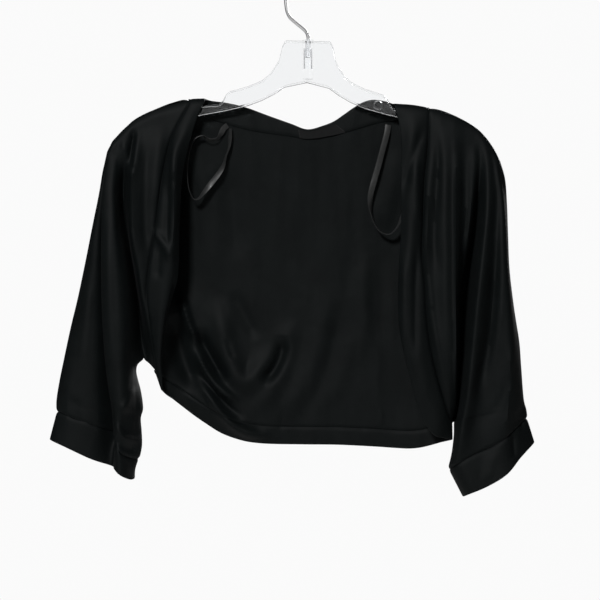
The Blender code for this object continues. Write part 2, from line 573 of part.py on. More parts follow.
def build_back(material):
    """The back with both sleeve backs, cut in one and slit below each underarm."""
    left = (edge_line(OUTER_LEFT, 1),) + tuple(back_line(guide) for guide in BACK_SLEEVE_LEFT)
    right = tuple(back_line(guide) for guide in BACK_SLEEVE_RIGHT) + (edge_line(OUTER_RIGHT, 1),)
    body = tuple(back_line(guide) for guide in BACK_BODY)
    crotch_left = back_line(Guide("underarm", BACK_UNDERARM_LEFT, seam_line(INNER_LEFT, 1)))
    crotch_right = back_line(Guide("underarm", BACK_UNDERARM_RIGHT, seam_line(INNER_RIGHT, 1)))
    lines = left + (crotch_left,) + body + (crotch_right,) + right
    bm = bmesh.new()
    upper = folded(across_lines(sampled(lines, "upper"), COLUMNS_BETWEEN), BACK_FOLDS)
    first_neck = (len(left) + 1 + SHOULDER_LINES) * COLUMNS_BETWEEN
    last_neck = (len(left) + len(body) - SHOULDER_LINES) * COLUMNS_BETWEEN
    upper[0][first_neck : last_neck + 1] = snapped(
        upper[0][first_neck : last_neck + 1], meeting_line(NECK_SEAM), SEAM_GAP
    )
    foot = add_grid(bm, upper)[-1]
    split_left = len(left) * COLUMNS_BETWEEN
    split_right = (len(left) + 1 + len(body)) * COLUMNS_BETWEEN
    side_left = Guide("side_seam", (), SIDE_SEAM_LEFT)
    side_right = Guide("side_seam", (), SIDE_SEAM_RIGHT)
    sections = []
    for part, edge in (
        (left + (crotch_left,), foot[: split_left + 1]),
        ((side_left,) + body + (side_right,), foot[split_left : split_right + 1]),
        ((crotch_right,) + right, foot[split_right:]),
    ):
        rows = across_lines(sampled(part, "lower"), COLUMNS_BETWEEN)
        if part[0] is side_left:
            rows = folded(rows, BACK_FOLDS)
            rows[-1] = snapped(rows[-1], meeting_line(HEM_SEAM), -SEAM_GAP)
        add_grid(bm, rows, first=edge)
        sections.append(rows[-1])
    return wall("back_with_sleeves", bm, PANEL_WALL, material), sections


def build_front(name, guides, outer, inner, split_at, material):
    """One front with its sleeve's front. split_at counts the lines that belong to the body."""
    lines = tuple(front_line(guide) for guide in guides)
    body, sleeve = lines[:split_at], lines[split_at:] + (edge_line(outer, -1),)
    return split_panel(name, sleeve, seam_line(inner, -1), body, material)


def inset(edge, neighbour):
    """The edge's points moved half a seam's gap towards the neighbour line's."""
    return [p + (q - p).normalized() * ANGLED_SEAM_GAP / 2 for p, q in zip(edge, neighbour)]


def build_band(name, edges, rows, material):
    """A folded band between lines that run along it."""
    bm = bmesh.new()
    add_grid(bm, across_lines([spline(edge, rows) for edge in edges], COLUMNS_BETWEEN))
    return wall(name, bm, BAND_WALL, material)


def build_front_band(name, edges, panel_guides, material):
    """The band along one front, from its free edge over the middle line to the panel's seam."""
    lines = [spline(edge, PANEL_ROWS_UPPER, SHOULDER_ROWS) for edge in edges]
    seam = spline(front_line(panel_guides[0]).upper, PANEL_ROWS_UPPER, SHOULDER_ROWS)
    bm = bmesh.new()
    add_grid(bm, across_lines(lines + [inset(seam, lines[-1])], COLUMNS_BETWEEN))
    return wall(name, bm, BAND_WALL, material)


def build_cuff(name, front_foot, back_foot, hem, material):
    """A cuff that continues the sleeve's foot: its own ring of walls from the seam to its hem."""
    seam = front_foot[::-1] + back_foot
    shares = distances(seam + seam[:1])
    outline = spline(hem + hem[:1], MEETING_STEPS)
    length = distances(outline)[-1]
    edge = place(outline, [length * share / shares[-1] for share in shares[:-1]])
    bm = bmesh.new()
    rows = []
    for row in range(CUFF_ROWS + 1):
        share = row / CUFF_ROWS
        rows.append([
            (a + (b - a).normalized() * SEAM_GAP).lerp(b, share) for a, b in zip(seam, edge)
        ])
    add_grid(bm, rows, closed=True)
    return wall(name, bm, BAND_WALL, material)


def build_loop(name, route, material):
    """A flat satin ribbon along its route, with its width in the plane that faces the viewer."""
    points = spline(route, LOOP_ROWS)
    rows = []
    for index, point in enumerate(points):
        before = points[max(index - 1, 0)]
        after = points[min(index + 1, LOOP_ROWS - 1)]
        along = (after - before).normalized()
        side = along.cross(Vector((0, 0, 1))).normalized() * LOOP_WIDTH / 2
        rows.append([point - side, point + side])
    bm = bmesh.new()
    add_grid(bm, rows)
    return wall(name, bm, TRIM_WALL, material)


def build_label(material):
    """A bare woven label on the inside of the neck band, made from the band's own lines."""
    seam = spline(NECK_SEAM, LABEL_LINE_ROWS)
    free = spline(NECK_FREE_EDGE, LABEL_LINE_ROWS)
    first = round(LABEL_FROM * len(seam))
    last = round(LABEL_TO * len(seam))
    forward = BAND_WALL / 2 + TRIM_WALL / 2 + LABEL_CLEARANCE
    rows = []
    for top, bottom in list(zip(free, seam))[first : last + 1 : 2]:
        rows.append([
            top.lerp(bottom, share) - Vector((0, 0, forward)) for share in LABEL_WIDTH_SHARE
        ])
    bm = bmesh.new()
    add_grid(bm, rows)
    return wall("neck_label", bm, TRIM_WALL, material)


def hanger_section(distance):
    """The I-shaped section of the hanger at one distance from its middle, as (depth, down) points."""
    top = height_at(HANGER_TOP, abs(distance))[0]
    bottom = height_at(HANGER_BOTTOM, abs(distance))[0]
    half, web = HANGER_FLANGE_HALF, HANGER_WEB_HALF
    upper, lower = top + HANGER_FLANGE, bottom - HANGER_FLANGE
    return (
        (-half, top), (half, top), (half, upper), (web, upper), (web, lower), (half, lower),
        (half, bottom), (-half, bottom), (-half, lower), (-web, lower), (-web, upper), (-half, upper),
    )


def tilted(point):
    """A point of the hanger turned with it about the middle of its barrel."""
    pivot = Vector((HOOK_MIDDLE, 0, -79.0)) * MM
    offset = point - pivot
    cos, sin = math.cos(HANGER_TILT), math.sin(HANGER_TILT)
    return pivot + Vector((offset.x * cos + offset.z * sin, offset.y, offset.z * cos - offset.x * sin))


def hanger_beam(material):
    bm = bmesh.new()
    places = [-step for step in HANGER_STEPS[:0:-1]] + list(HANGER_STEPS)
    rings = []
    for place in places:
        rings.append([
            bm.verts.new(tilted(at(place + HOOK_MIDDLE, down, depth)))
            for depth, down in hanger_section(place)
        ])
    for left, right in zip(rings, rings[1:]):
        for i in range(len(left)):
            j = (i + 1) % len(left)
            bm.faces.new((left[i], left[j], right[j], right[i]))
    bm.faces.new(rings[0])
    bm.faces.new(rings[-1][::-1])
    bmesh.ops.recalc_face_normals(bm, faces=bm.faces[:])
    mesh = bpy.data.meshes.new("hanger_body")
    bm.to_mesh(mesh)
    bm.free()
    obj = bpy.data.objects.new("hanger_body", mesh)
    PART.objects.link(obj)
    mesh.materials.append(material)
    return obj


def cylinder(name, radius, top, bottom):
    """A helper cylinder on the hook's axis, between two heights below the bearing point."""
    mesh = bpy.data.meshes.new(name)
    bm = bmesh.new()
    around, height = radius * MM, (bottom - top) * MM
    bmesh.ops.create_cone(
        bm, cap_ends=True, segments=BARREL_SIDES, radius1=around, radius2=around, depth=height
    )
    bm.to_mesh(mesh)
    bm.free()
    obj = bpy.data.objects.new(name, mesh)
    obj.location = at(HOOK_MIDDLE, (top + bottom) / 2, 0)
    obj.hide_render = True
    obj.display_type = "WIRE"
    CUTTERS.objects.link(obj)
    return obj


def build_hanger(material):
    """The moulded hanger: an I-beam with a barrel in which the hook's head is caught."""
    hanger = hanger_beam(material)
    top = HANGER_TOP[0][1]
    bored = top + NECK_BORE_DEPTH
    barrel = cylinder("barrel", BARREL_RADIUS, top - BARREL_RISE, BARREL_BOTTOM)
    bore = cylinder("neck_bore", NECK_BORE_RADIUS, top - CUTTER_OVERRUN, bored + BARREL_RISE)
    chamber = cylinder("head_chamber", CHAMBER_RADIUS, bored, top + CHAMBER_DEPTH)
    for operation, tool in (("UNION", barrel), ("DIFFERENCE", bore), ("DIFFERENCE", chamber)):
        boolean = hanger.modifiers.new(tool.name, "BOOLEAN")
        boolean.operation = operation
        boolean.object = tool
    return hanger


def build_hook(material):
    """The wire hook with the head that turns in the hanger's barrel, as one curve of changing radius."""
    head_top = HANGER_TOP[0][1] + NECK_BORE_DEPTH + HOOK_HEAD_PLAY
    head_bottom = head_top + HOOK_HEAD_LENGTH
    edge = HOOK_HEAD_EDGE
    outline = [
        (HOOK_MIDDLE, head_bottom, HOOK_HEAD_RADIUS - edge),
        (HOOK_MIDDLE, head_bottom - edge, HOOK_HEAD_RADIUS),
        (HOOK_MIDDLE, head_top + edge, HOOK_HEAD_RADIUS),
        (HOOK_MIDDLE, head_top, HOOK_WIRE_RADIUS),
    ]
    lead = spline([(x, down, 0) for x, down in HOOK_LEAD], HOOK_LEAD_STEPS)
    outline += [(point.x, point.y, HOOK_WIRE_RADIUS) for point in lead]
    middle_down = HOOK_RADIUS - HOOK_WIRE_RADIUS
    for step in range(HOOK_ARC_STEPS + 1):
        angle = HOOK_ARC_FROM + (HOOK_ARC_TO - HOOK_ARC_FROM) * step / HOOK_ARC_STEPS
        x = HOOK_RADIUS * math.cos(angle)
        outline.append((x, middle_down - HOOK_RADIUS * math.sin(angle), HOOK_WIRE_RADIUS))
    end_x, end_down, _ = outline[-1]
    outline += [(end_x + dx, end_down + dz, radius) for dx, dz, radius in HOOK_TIP]
    curve = bpy.data.curves.new("hanger_hook", "CURVE")
    curve.dimensions = "3D"
    curve.bevel_depth = HOOK_WIRE_RADIUS * MM
    curve.bevel_resolution = 3
    curve.use_fill_caps = True
    line = curve.splines.new("POLY")
    line.points.add(len(outline) - 1)
    for point, (x, down, radius) in zip(line.points, outline):
        point.co = (*at(x, down, 0), 1)
        point.radius = radius / HOOK_WIRE_RADIUS
    obj = bpy.data.objects.new("hanger_hook", curve)
    PART.objects.link(obj)
    curve.materials.append(material)
    return obj


def clear_scene():
    for obj in list(bpy.data.objects):
        bpy.data.objects.remove(obj, do_unlink=True)


def new_collection(name):
    collection = bpy.data.collections.new(name)
    bpy.context.scene.collection.children.link(collection)
    return collection


def main():
    jersey = finish("black_jersey", CLOTH_BLACK, roughness=0.72)
    satin = finish("black_satin", SATIN_BLACK, roughness=0.32)
    woven = finish("dark_woven_label", LABEL_GREY, roughness=0.5)
    clear = finish("clear_plastic", PLASTIC_CLEAR, roughness=0.06, transmission=0.9)
    steel = finish("plated_steel", STEEL_GREY, roughness=0.22, metallic=1.0)

    _, back_feet = build_back(jersey)
    _, left_foot = build_front(
        "front_left_with_sleeve", FRONT_LEFT, OUTER_LEFT, INNER_LEFT, BODY_LINES_LEFT, jersey
    )
    _, right_foot = build_front(
        "front_right_with_sleeve", FRONT_RIGHT, OUTER_RIGHT, INNER_RIGHT, BODY_LINES_RIGHT, jersey
    )
    build_cuff("cuff_left", left_foot, back_feet[0][::-1][1:-1], CUFF_LEFT_HEM, jersey)
    build_cuff("cuff_right", right_foot, back_feet[2][1:-1], CUFF_RIGHT_HEM, jersey)
    build_front_band("front_band_left", BAND_LEFT, FRONT_LEFT, jersey)
    build_front_band("front_band_right", BAND_RIGHT, FRONT_RIGHT, jersey)
    build_band("neck_band", (NECK_FREE_EDGE, NECK_SEAM), NECK_ROWS, jersey)
    build_band("hem_band", (HEM_FREE_EDGE, HEM_SEAM), HEM_ROWS, jersey)
    build_label(woven)
    build_loop("hanger_loop_left", LOOP_LEFT, satin)
    build_loop("hanger_loop_right", LOOP_RIGHT, satin)
    build_hanger(clear)
    build_hook(steel)


clear_scene()
PART = new_collection("bolero_on_hanger")
CUTTERS = new_collection("cutters")
main()
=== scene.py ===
"""Looks of a black jersey bolero that hangs open on a clear moulded hanger.

Tables give millimetres as (across, down, depth): across is +X, down is measured below the point where
the hook bears on its rail, and depth is +Y, away from the camera. Each class builds one sub-assembly,
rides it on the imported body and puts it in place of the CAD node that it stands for; Studio is the stage.
"""

import logging
import math
from dataclasses import dataclass
from enum import Enum
from typing import Dict, List, NamedTuple, Optional, Sequence, Tuple, Union

import bmesh
import bpy
import numpy as np
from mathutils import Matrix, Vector, noise

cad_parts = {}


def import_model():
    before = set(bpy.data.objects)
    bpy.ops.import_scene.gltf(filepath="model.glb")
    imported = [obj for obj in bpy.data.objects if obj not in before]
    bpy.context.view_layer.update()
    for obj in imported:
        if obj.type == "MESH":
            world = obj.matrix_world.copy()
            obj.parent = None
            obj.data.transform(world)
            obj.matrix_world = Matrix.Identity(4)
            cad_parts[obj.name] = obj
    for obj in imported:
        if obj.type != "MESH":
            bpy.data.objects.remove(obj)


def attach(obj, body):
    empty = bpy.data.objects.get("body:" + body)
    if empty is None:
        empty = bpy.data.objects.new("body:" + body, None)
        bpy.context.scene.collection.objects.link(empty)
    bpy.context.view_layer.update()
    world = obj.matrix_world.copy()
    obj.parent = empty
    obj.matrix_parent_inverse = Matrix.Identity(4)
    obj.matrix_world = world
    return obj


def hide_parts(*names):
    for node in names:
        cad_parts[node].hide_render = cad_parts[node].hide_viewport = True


LOG = logging.getLogger("bolero")

MM = 0.001
ROOT = "root"
CLOTH_PLACE = "cloth_place"
VECTOR, VALUE = "NodeSocketVector", "NodeSocketFloat"
WHITE = (1.0, 1.0, 1.0, 1.0)
FULL_TURN = 2 * math.pi

Row = Tuple[float, ...]
Table = Tuple[Row, ...]
Pair = Tuple[float, float]
Triple = Tuple[float, float, float]
Points = np.ndarray
Piece = bpy.types.Object
Material = bpy.types.Material
Tree, Node, Socket = bpy.types.NodeTree, bpy.types.Node, bpy.types.NodeSocket

# Steps of a curve between two of its points, and points of a seam when it is read across.
CURVE_STEPS = 8
SEAM_POINTS = 200
# Share of its path over which a fold fades in and out, and how many half widths away it ends.
FOLD_FADE = 0.28
FOLD_REACH = 3.0
# Points of a fold's path for each of its rows.
FOLD_STEPS = 4
# Least lengths that anything is divided by.
SHORTEST = 1e-6
TINY = 1e-9
# Slow waves of all hanging cloth: length across and down in millimetres, height, seed.
DRAPE_WAVES: Table = ((26.0, 120.0, 1.5, 3.1), (11.0, 45.0, 0.6, 8.7), (6.0, 9.0, 0.16, 5.3))
# How far beyond the closer lines beside an edge the next line stays, as a share of their reach.
CLEARANCE = 1.25
# How much of its fullness a folded strip loses at its seam, and how many steps turn its free edge.
SEAM_PINCH = 0.8
EDGE_TURNS = 7


class Facing(Enum):
    """Which way the outer face of a piece looks."""

    CAMERA = (0.0, -1.0, 0.0)
    AWAY = (0.0, 1.0, 0.0)

    @property
    def way(self) -> Points:
        """The direction as a vector."""
        return np.array(self.value)


class Edge(Enum):
    """One edge of a grid."""

    TOP = "first row"
    FOOT = "last row"
    START = "first column"
    END = "last column"


class Side(Enum):
    """A side of the garment, as the camera sees it."""

    LEFT = "left"
    RIGHT = "right"


class Guide(NamedTuple):
    """One line that runs down a panel: its rows above the underarm, then those below it."""

    name: str
    upper: Table
    lower: Table


def guide(name: str, upper: Table, below: Table) -> Guide:
    """A line whose lower rows go on from its last upper one."""
    return Guide(name, upper, (upper[-1], *below))


def body_line(name: str, top: float, rows: Table, foot: float) -> Guide:
    """A line down the back's body, whose foot takes its height from the hem band's seam."""
    return Guide(name, ((top, 0, 0), *rows), (rows[-1], (foot, 0, 0)))


class Fold(NamedTuple):
    """A fold of the cloth along a path of (across, down).

    rise is in millimetres towards the camera, negative for a hollow; half_width is the distance at which
    it has fallen to about a third; lean makes one flank steeper, from -0.8 to 0.8.
    """

    name: str
    rise: float
    half_width: float
    path: Table
    lean: float = 0.0


# Shoulder line of the cloth, from the neck out to the end of the hanger: (across, down).
SHOULDER_LEFT: Table = (
    (-108, 142.2), (-128, 142.8), (-146, 145.8), (-166, 153.8),
    (-187, 164.6), (-199, 175.6), (-209.5, 187.2), (-215.5, 198.6),
)
SHOULDER_RIGHT: Table = (
    (90, 148), (104, 147.6), (126.8, 150.9), (141.3, 154.2), (157.7, 159.2),
    (174.3, 167.6), (188.8, 177.8), (200.9, 194.2), (208.5, 209.5),
)
# How the cloth turns over the shoulder: (down from the line, out from it).
SHOULDER_ROLL: Table = ((0.9, 4.6), (4.5, 7.6))
SHOULDER_ROWS = (0.9, 2.2, 3.6, 5.6, 8.2)

# Outer edge of each sleeve, shared by its front and its back.
OUTER_LEFT = guide(
    "outer_edge",
    ((-215.5, 198.6, 0), (-219, 214, 3), (-224, 241, 5), (-230.4, 272, 7), (-238.7, 313, 9),
     (-248, 357, 10), (-255, 386, 10), (-262.5, 421, 10)),
    ((-268, 448, 10), (-271, 468, 10), (-271, 479, 10)),
)
OUTER_RIGHT = guide(
    "outer_edge",
    ((208.5, 209.5, 0), (213.5, 227, 3), (215.6, 252, 5), (216.6, 283, 7), (217.6, 324, 9),
     (221.8, 359, 10), (224.9, 379, 10), (229, 404, 10), (231, 431, 10), (234.3, 468, 10)),
    ((237, 477, 10), (238.3, 486, 10)),
)

# Underarm seam of each sleeve, shared by its front and its back.
INNER_LEFT: Table = (
    (-177, 421, 12), (-184.5, 428, 10), (-186, 435, 9), (-184, 444, 8), (-180.7, 455, 6), (-178, 470, 3),
    (-177.7, 477, 1), (-180, 485, 0), (-179, 500, -1), (-178.5, 515, -2), (-181, 529, -3),
)
INNER_RIGHT: Table = (
    (161, 490, 12), (160.5, 503, 8), (159.3, 512, 4), (156.8, 525, -1), (152.6, 540, -4),
)

# Fold lines of each front, from the band seam out to the sleeve. The first row's height is the shoulder's.
FRONT_LEFT: Tuple[Guide, ...] = (
    Guide("band_seam",
        ((-128, 0, 0), (-146, 182.5, -10), (-154.5, 217, -12), (-163, 276.5, -14), (-168.5, 310, -15),
         (-172.8, 349.5, -14), (-170, 380, -12), (-167, 404, -8), (-165, 424, -2), (-164, 434, 4)), ()),
    Guide("front_ridge",
        ((-168, 0, 0), (-180, 180, -9), (-187, 223.5, -16), (-188, 268, -19), (-186, 301, -19),
         (-181.5, 325, -17), (-178.5, 350, -14), (-176, 369, -9), (-172.5, 393, -3), (-169.6, 415, 3),
         (-168.5, 429, 8)), ()),
    Guide("valley",
        ((-186, 0, 0), (-193, 196.5, -7.5), (-197.6, 229, 0), (-198, 257, 5), (-194.5, 284, 9),
         (-189.5, 318.6, 14), (-185.5, 345, 18), (-182.5, 369.4, 19), (-180, 402, 16),
         (-177, 421, 12)), ()),
    guide("flank",
        ((-194, 0, 0), (-201, 200, -10), (-204, 240, -14), (-202, 284, -19), (-196.5, 318, -23),
         (-192, 358, -24), (-190, 392, -21), (-188.5, 421, -10)),
        ((-187, 450, -13), (-186, 480, -17), (-190, 528, -18))),
    guide("peak",
        ((-200, 0, 0), (-207, 205, -10), (-209, 240, -22), (-207, 284, -31), (-205, 318, -35.5),
         (-203, 358, -37), (-201, 392, -37), (-199.5, 421, -36)),
        ((-198.5, 450, -35), (-198.5, 485, -34.5), (-201, 520, -33))),
    guide("edge",
        ((-205, 0, 0), (-214, 210, -9.5), (-219, 240, -18), (-220, 284, -24), (-220, 318, -27),
         (-219.5, 358, -28), (-218, 392, -28), (-216, 421, -27)),
        ((-213.5, 445, -26), (-209, 475, -25), (-206.8, 505, -24))),
    guide("tuck",
        ((-209.5, 0, 0), (-216.5, 212, -7.5), (-216, 245, -3), (-214, 284, 9), (-211, 318, 16),
         (-209.5, 358, 19), (-208.5, 392, 20), (-207.5, 421, 20)),
        ((-206.5, 450, 19), (-205.5, 480, 16), (-206.5, 502, 10))),
    guide("strip_inner",
        ((-212.5, 0, 0), (-218, 216, -5), (-221.5, 245, -7), (-224, 284, -6), (-226, 318, -5),
         (-227, 358, -4), (-227.5, 392, -4), (-227.5, 421, -4)),
        ((-227.5, 450, -4), (-227, 494.5, -4))),
    guide("strip_outer",
        ((-214.3, 0, 0), (-219.5, 217, -2), (-223.5, 247, -5), (-230, 284, -4), (-234, 318, -3),
         (-240, 358, -2), (-246, 392, -2), (-250.5, 421, -2)),
        ((-255, 450, -2), (-258, 483.5, -2))),
)
FRONT_RIGHT: Tuple[Guide, ...] = (
    Guide("band_seam",
        ((131.8, 0, 0), (129.2, 200, -10), (125.8, 233, -12), (124.2, 276.5, -14), (123.1, 310, -15),
         (126.4, 343, -16), (127.9, 371.5, -16), (132.8, 412.6, -16), (141.5, 449.3, -12),
         (149.5, 474, -6), (155.8, 489, 1)), ()),
    Guide("front_ridge",
        ((146.9, 0, 0), (145.4, 191, -15), (145, 280, -21), (145.4, 360, -22), (146, 416, -22),
         (151.2, 453, -16), (155.5, 474, -6), (158, 487, 4.5)), ()),
    Guide("front_edge",
        ((162, 0, 0), (160, 191, -13), (159.6, 260, -18), (159.3, 358, -20), (160, 430, -16),
         (160.5, 468, -6), (160, 487.5, 8)), ()),
    Guide("shelf",
        ((173, 0, 0), (176, 200, -10), (177, 245, -11), (173.5, 285, -11), (168.5, 320, -11),
         (164.8, 355, -10), (162.6, 385, -9), (161.8, 420, -8), (161.2, 450, -4), (160.9, 475, 2),
         (160.6, 488.5, 9.5)), ()),
    Guide("valley",
        ((184.5, 0, 0), (185.5, 207, -7.5), (184.5, 240, -2), (181.5, 268, 5), (176.5, 319, 9),
         (172, 355, 10), (168.5, 385, 10), (166.5, 420, 10), (164.5, 450, 9), (162.8, 475, 9.5),
         (161, 490, 12)), ()),
    Guide("sleeve_ridge",
        ((193, 0, 0), (194.4, 216, -14), (191, 284, -24), (185.4, 336, -28), (182, 369, -30),
         (177.5, 416, -30), (173, 458, -30), (168.4, 485, -28)),
        ((168, 485, -28), (164, 510, -27), (160, 535, -22))),
    Guide("sleeve_trough",
        ((198.5, 0, 0), (204, 250, -13), (203, 318, -18), (198.6, 369, -20), (195, 416, -20),
         (188.8, 449, -19), (184, 482, -18)),
        ((183, 482, -17), (181, 503, -19), (181.4, 524, -20))),
    guide("outer_ridge",
        ((203, 0, 0), (209.5, 250, -14), (212.5, 318, -22), (214.5, 359, -25), (217, 400, -26),
         (217.5, 440, -25), (215.5, 476, -23)),
        ((214, 492, -22), (212.6, 508, -20))),
    guide("outer_turn",
        ((206, 0, 0), (212, 240, -5), (215.6, 283, -6), (217.6, 324, -7), (221, 359, -8),
         (226, 404, -8), (228.5, 440, -8), (229, 472, -8)),
        ((226.5, 485, -9), (224, 498, -11))),
)
# How many of the lines above belong to the body, before the slit under the arm.
BODY_LINES_LEFT, BODY_LINES_RIGHT = 3, 5

# Lines down the back, from the left sleeve to the right one. The first row's height is the shoulder's or,
# between the ends of the neck band, its seam's.
BACK_SLEEVE_LEFT: Tuple[Guide, ...] = (
    guide("outer_turn",
        ((-212.5, 0, 0), (-218, 222, 11), (-226, 260, 15), (-236, 313, 19), (-246, 370, 21),
         (-250, 421, 21)),
        ((-252, 455, 21), (-255, 485, 20))),
    guide("outer",
        ((-206, 0, 0), (-210, 222, 14), (-214, 270, 20), (-220, 330, 25), (-224, 380, 26), (-226, 421, 26)),
        ((-227, 460, 26), (-229, 494, 24))),
    guide("inner",
        ((-197, 0, 0), (-200, 222, 14), (-202, 280, 20), (-203, 350, 24), (-203, 421, 22)),
        ((-203, 460, 21), (-205, 512, 16))),
)
BACK_UNDERARM_LEFT: Table = (
    (-184, 0, 0), (-187, 220, 14), (-188, 300, 20), (-186, 370, 22), (-177, 421, 12),
)
BACK_BODY: Tuple[Guide, ...] = (
    body_line("side_left", -160, ((-160, 200, 14), (-160, 300, 22), (-160, 370, 24), (-160, 410, 22)), -158),
    body_line("left_1", -144, ((-144, 200, 14), (-144, 300, 23), (-144, 360, 25), (-144, 400, 25)), -143),
    body_line("left_2", -130, ((-128, 200, 14), (-128, 300, 23), (-128, 360, 26), (-129, 398, 26)), -128),
    body_line("left_3", -115, ((-114, 210, 15), (-114, 300, 23), (-114, 360, 26), (-114, 398, 26)), -112),
    body_line("left_4", -99, ((-98, 220, 15), (-98, 300, 22), (-98, 360, 26), (-98, 398, 26)), -97),
    body_line("left_5", -82, ((-82, 230, 16), (-82, 300, 22), (-81, 360, 25), (-81, 398, 26)), -80),
    body_line("left_6", -64, ((-64, 240, 16), (-63, 300, 21), (-63, 360, 24), (-63, 398, 26)), -62),
    body_line("left_7", -45, ((-45, 250, 17), (-45, 300, 21), (-45, 360, 24), (-45, 398, 26)), -44),
    body_line("centre_1", -25, ((-25, 250, 17), (-25, 300, 21), (-25, 360, 24), (-25, 398, 25)), -25),
    body_line("centre_2", -4, ((-4, 250, 17), (-4, 300, 21), (-4, 360, 23), (-4, 398, 25)), -4),
    body_line("centre_3", 20, ((20, 250, 17), (20, 300, 21), (20, 360, 23), (20, 398, 25)), 20),
    body_line("right_1", 50, ((50, 250, 17), (50, 300, 20), (50, 360, 23), (50, 400, 25)), 50),
    body_line("right_2", 80, ((80, 230, 15), (80, 300, 20), (80, 370, 23), (81, 410, 24)), 82),
    body_line("right_3", 112, ((112, 220, 14), (112, 300, 20), (112, 380, 22), (112, 430, 23)), 112),
    body_line("right_4", 133.5, ((133, 220, 14), (132, 300, 20), (133, 380, 22), (134, 450, 22)), 134),
    body_line("side_right", 158, ((158, 220, 14), (157, 300, 20), (155, 380, 22), (150, 470, 20)), 148),
)
BACK_UNDERARM_RIGHT: Table = (
    (184.5, 0, 0), (185.5, 240, 14), (182, 320, 20), (173, 420, 20), (161, 490, 12),
)
BACK_SLEEVE_RIGHT: Tuple[Guide, ...] = (
    guide("inner",
        ((194, 0, 0), (196, 240, 14), (196, 320, 20), (192, 400, 22), (187, 487, 20)),
        ((183, 503, 18), (176, 527, 14))),
    guide("outer",
        ((201.5, 0, 0), (206, 250, 14), (209, 330, 20), (211, 400, 24), (210, 482, 23)),
        ((205, 498, 21), (200, 514, 19))),
    guide("outer_turn",
        ((205.5, 0, 0), (212, 260, 12), (215.5, 330, 17), (221, 400, 20), (226, 474, 18)),
        ((226, 486, 18), (224, 496, 17))),
)
# Short side seams of the body, from each underarm down to the hem.
SIDE_SEAM_LEFT: Table = (BACK_UNDERARM_LEFT[-1], (-170, 428, 13), (-164.5, 433.8, 9))
SIDE_SEAM_RIGHT: Table = (BACK_UNDERARM_RIGHT[-1], (159.5, 490.5, 12), (157.5, 490.3, 9))

# Lines along each folded band, from its free edge towards the panel's seam.
BAND_LEFT: Tuple[Table, ...] = (
    ((-111, 142.1, 0), (-111.3, 143, -4.4), (-112.5, 147, -8.4), (-120, 164, -9.5), (-134, 217, -11),
     (-138, 276.5, -13), (-140.4, 336, -13), (-144.7, 350, -9), (-152, 378, -4), (-156, 404, 0),
     (-157.5, 424, 2), (-157, 454.5, 5)),
    ((-119.5, 142.3, 0), (-120, 143.2, -4.6), (-121.5, 147, -8.6), (-130.7, 175, -13), (-139.3, 197, -18),
     (-143.6, 229, -21), (-144.7, 276.5, -22), (-148, 315, -22), (-150, 348, -20), (-155.5, 378, -17),
     (-158.5, 404, -11), (-160, 424.4, -4), (-160.5, 444, 4.5)),
)
BAND_RIGHT: Tuple[Table, ...] = (
    ((95, 147.6, 0), (95.2, 148.5, -4.4), (96, 152.5, -8.4), (99.4, 165, -9.5), (102.6, 189, -11),
     (102, 233, -13), (102, 284, -14), (99.4, 327, -15), (98.7, 369.4, -15), (101.5, 398.5, -15),
     (110, 436.3, -13), (117.7, 466.6, -10), (126.4, 488, -7), (138.2, 504, -3), (148, 506.5, 0),
     (156.3, 508.5, 2)),
    ((113.5, 148.9, 0), (113.7, 149.8, -4.6), (114, 154, -8.6), (115, 190, -16), (113, 233, -19),
     (112, 284, -21), (110, 327, -22), (111, 369, -22), (114, 400, -22), (124, 440, -19), (135, 470, -13),
     (145, 487, -7), (156.2, 499, 1.5)),
)
NECK_FREE_EDGE: Table = (
    (-111, 142.1, 0), (-107, 143.2, 6.8), (-100, 144.3, 8), (-89, 145.8, 9), (-68, 150.6, 10),
    (-40.7, 160.5, 10.5), (-16.6, 169, 10.5), (0.5, 174.7, 10.5), (17.8, 170.6, 10.5),
    (29.9, 165.7, 10.5), (40.2, 158.8, 10), (51.4, 151, 10), (62.6, 144.7, 9.5), (72.9, 142.6, 9),
    (85, 144.5, 8), (91, 147, 7), (95, 147.6, 0),
)
NECK_SEAM: Table = (
    (-128, 142.8, 0), (-125, 147, 7.2), (-114, 157, 9), (-104, 163.5, 9.5), (-90, 168, 10),
    (-64, 175, 10.5), (-40, 179, 11), (-18, 182, 11), (0, 184.7, 11), (25, 181.5, 11), (41, 178, 11),
    (62.6, 171.7, 10.5), (79, 167, 10), (95, 164.5, 9.5), (112, 160, 8.8), (123.3, 156.4, 7.4),
    (131.8, 152, 0),
)
HEM_SEAM: Table = (
    (-164, 434.3, 5.4), (-163, 438, 12), (-158, 441.5, 17), (-150, 446.5, 21), (-140, 453.5, 24),
    (-125, 464.5, 22), (-108, 475.5, 19), (-92, 484.5, 19), (-75, 490.7, 20), (-60, 494, 22),
    (-40, 496, 24), (-7, 496.6, 25), (33, 497, 25), (75, 499, 24.5), (96, 500.5, 24), (112, 501, 23),
    (126, 499.5, 21), (140, 496, 19), (150, 493.5, 16), (155.3, 491.5, 9), (156, 489.5, 2.4),
)
HEM_FREE_EDGE: Table = (
    (-157, 455, 5.4), (-156, 456.5, 12), (-151.7, 461, 18), (-146, 465, 22), (-141.5, 468.7, 24),
    (-125, 481.5, 27), (-108.4, 493, 27.5), (-94, 502, 27.5), (-77.4, 508.4, 27), (-63, 512, 27),
    (-42, 514, 27), (-7.6, 514.6, 26.5), (33.5, 515, 26), (75, 517, 25.5), (95.8, 518.4, 25),
    (112.3, 519, 24), (124.6, 517.6, 22), (135, 515, 20), (145, 512, 16), (154.5, 509.5, 9),
    (156.3, 508.7, 2.4),
)
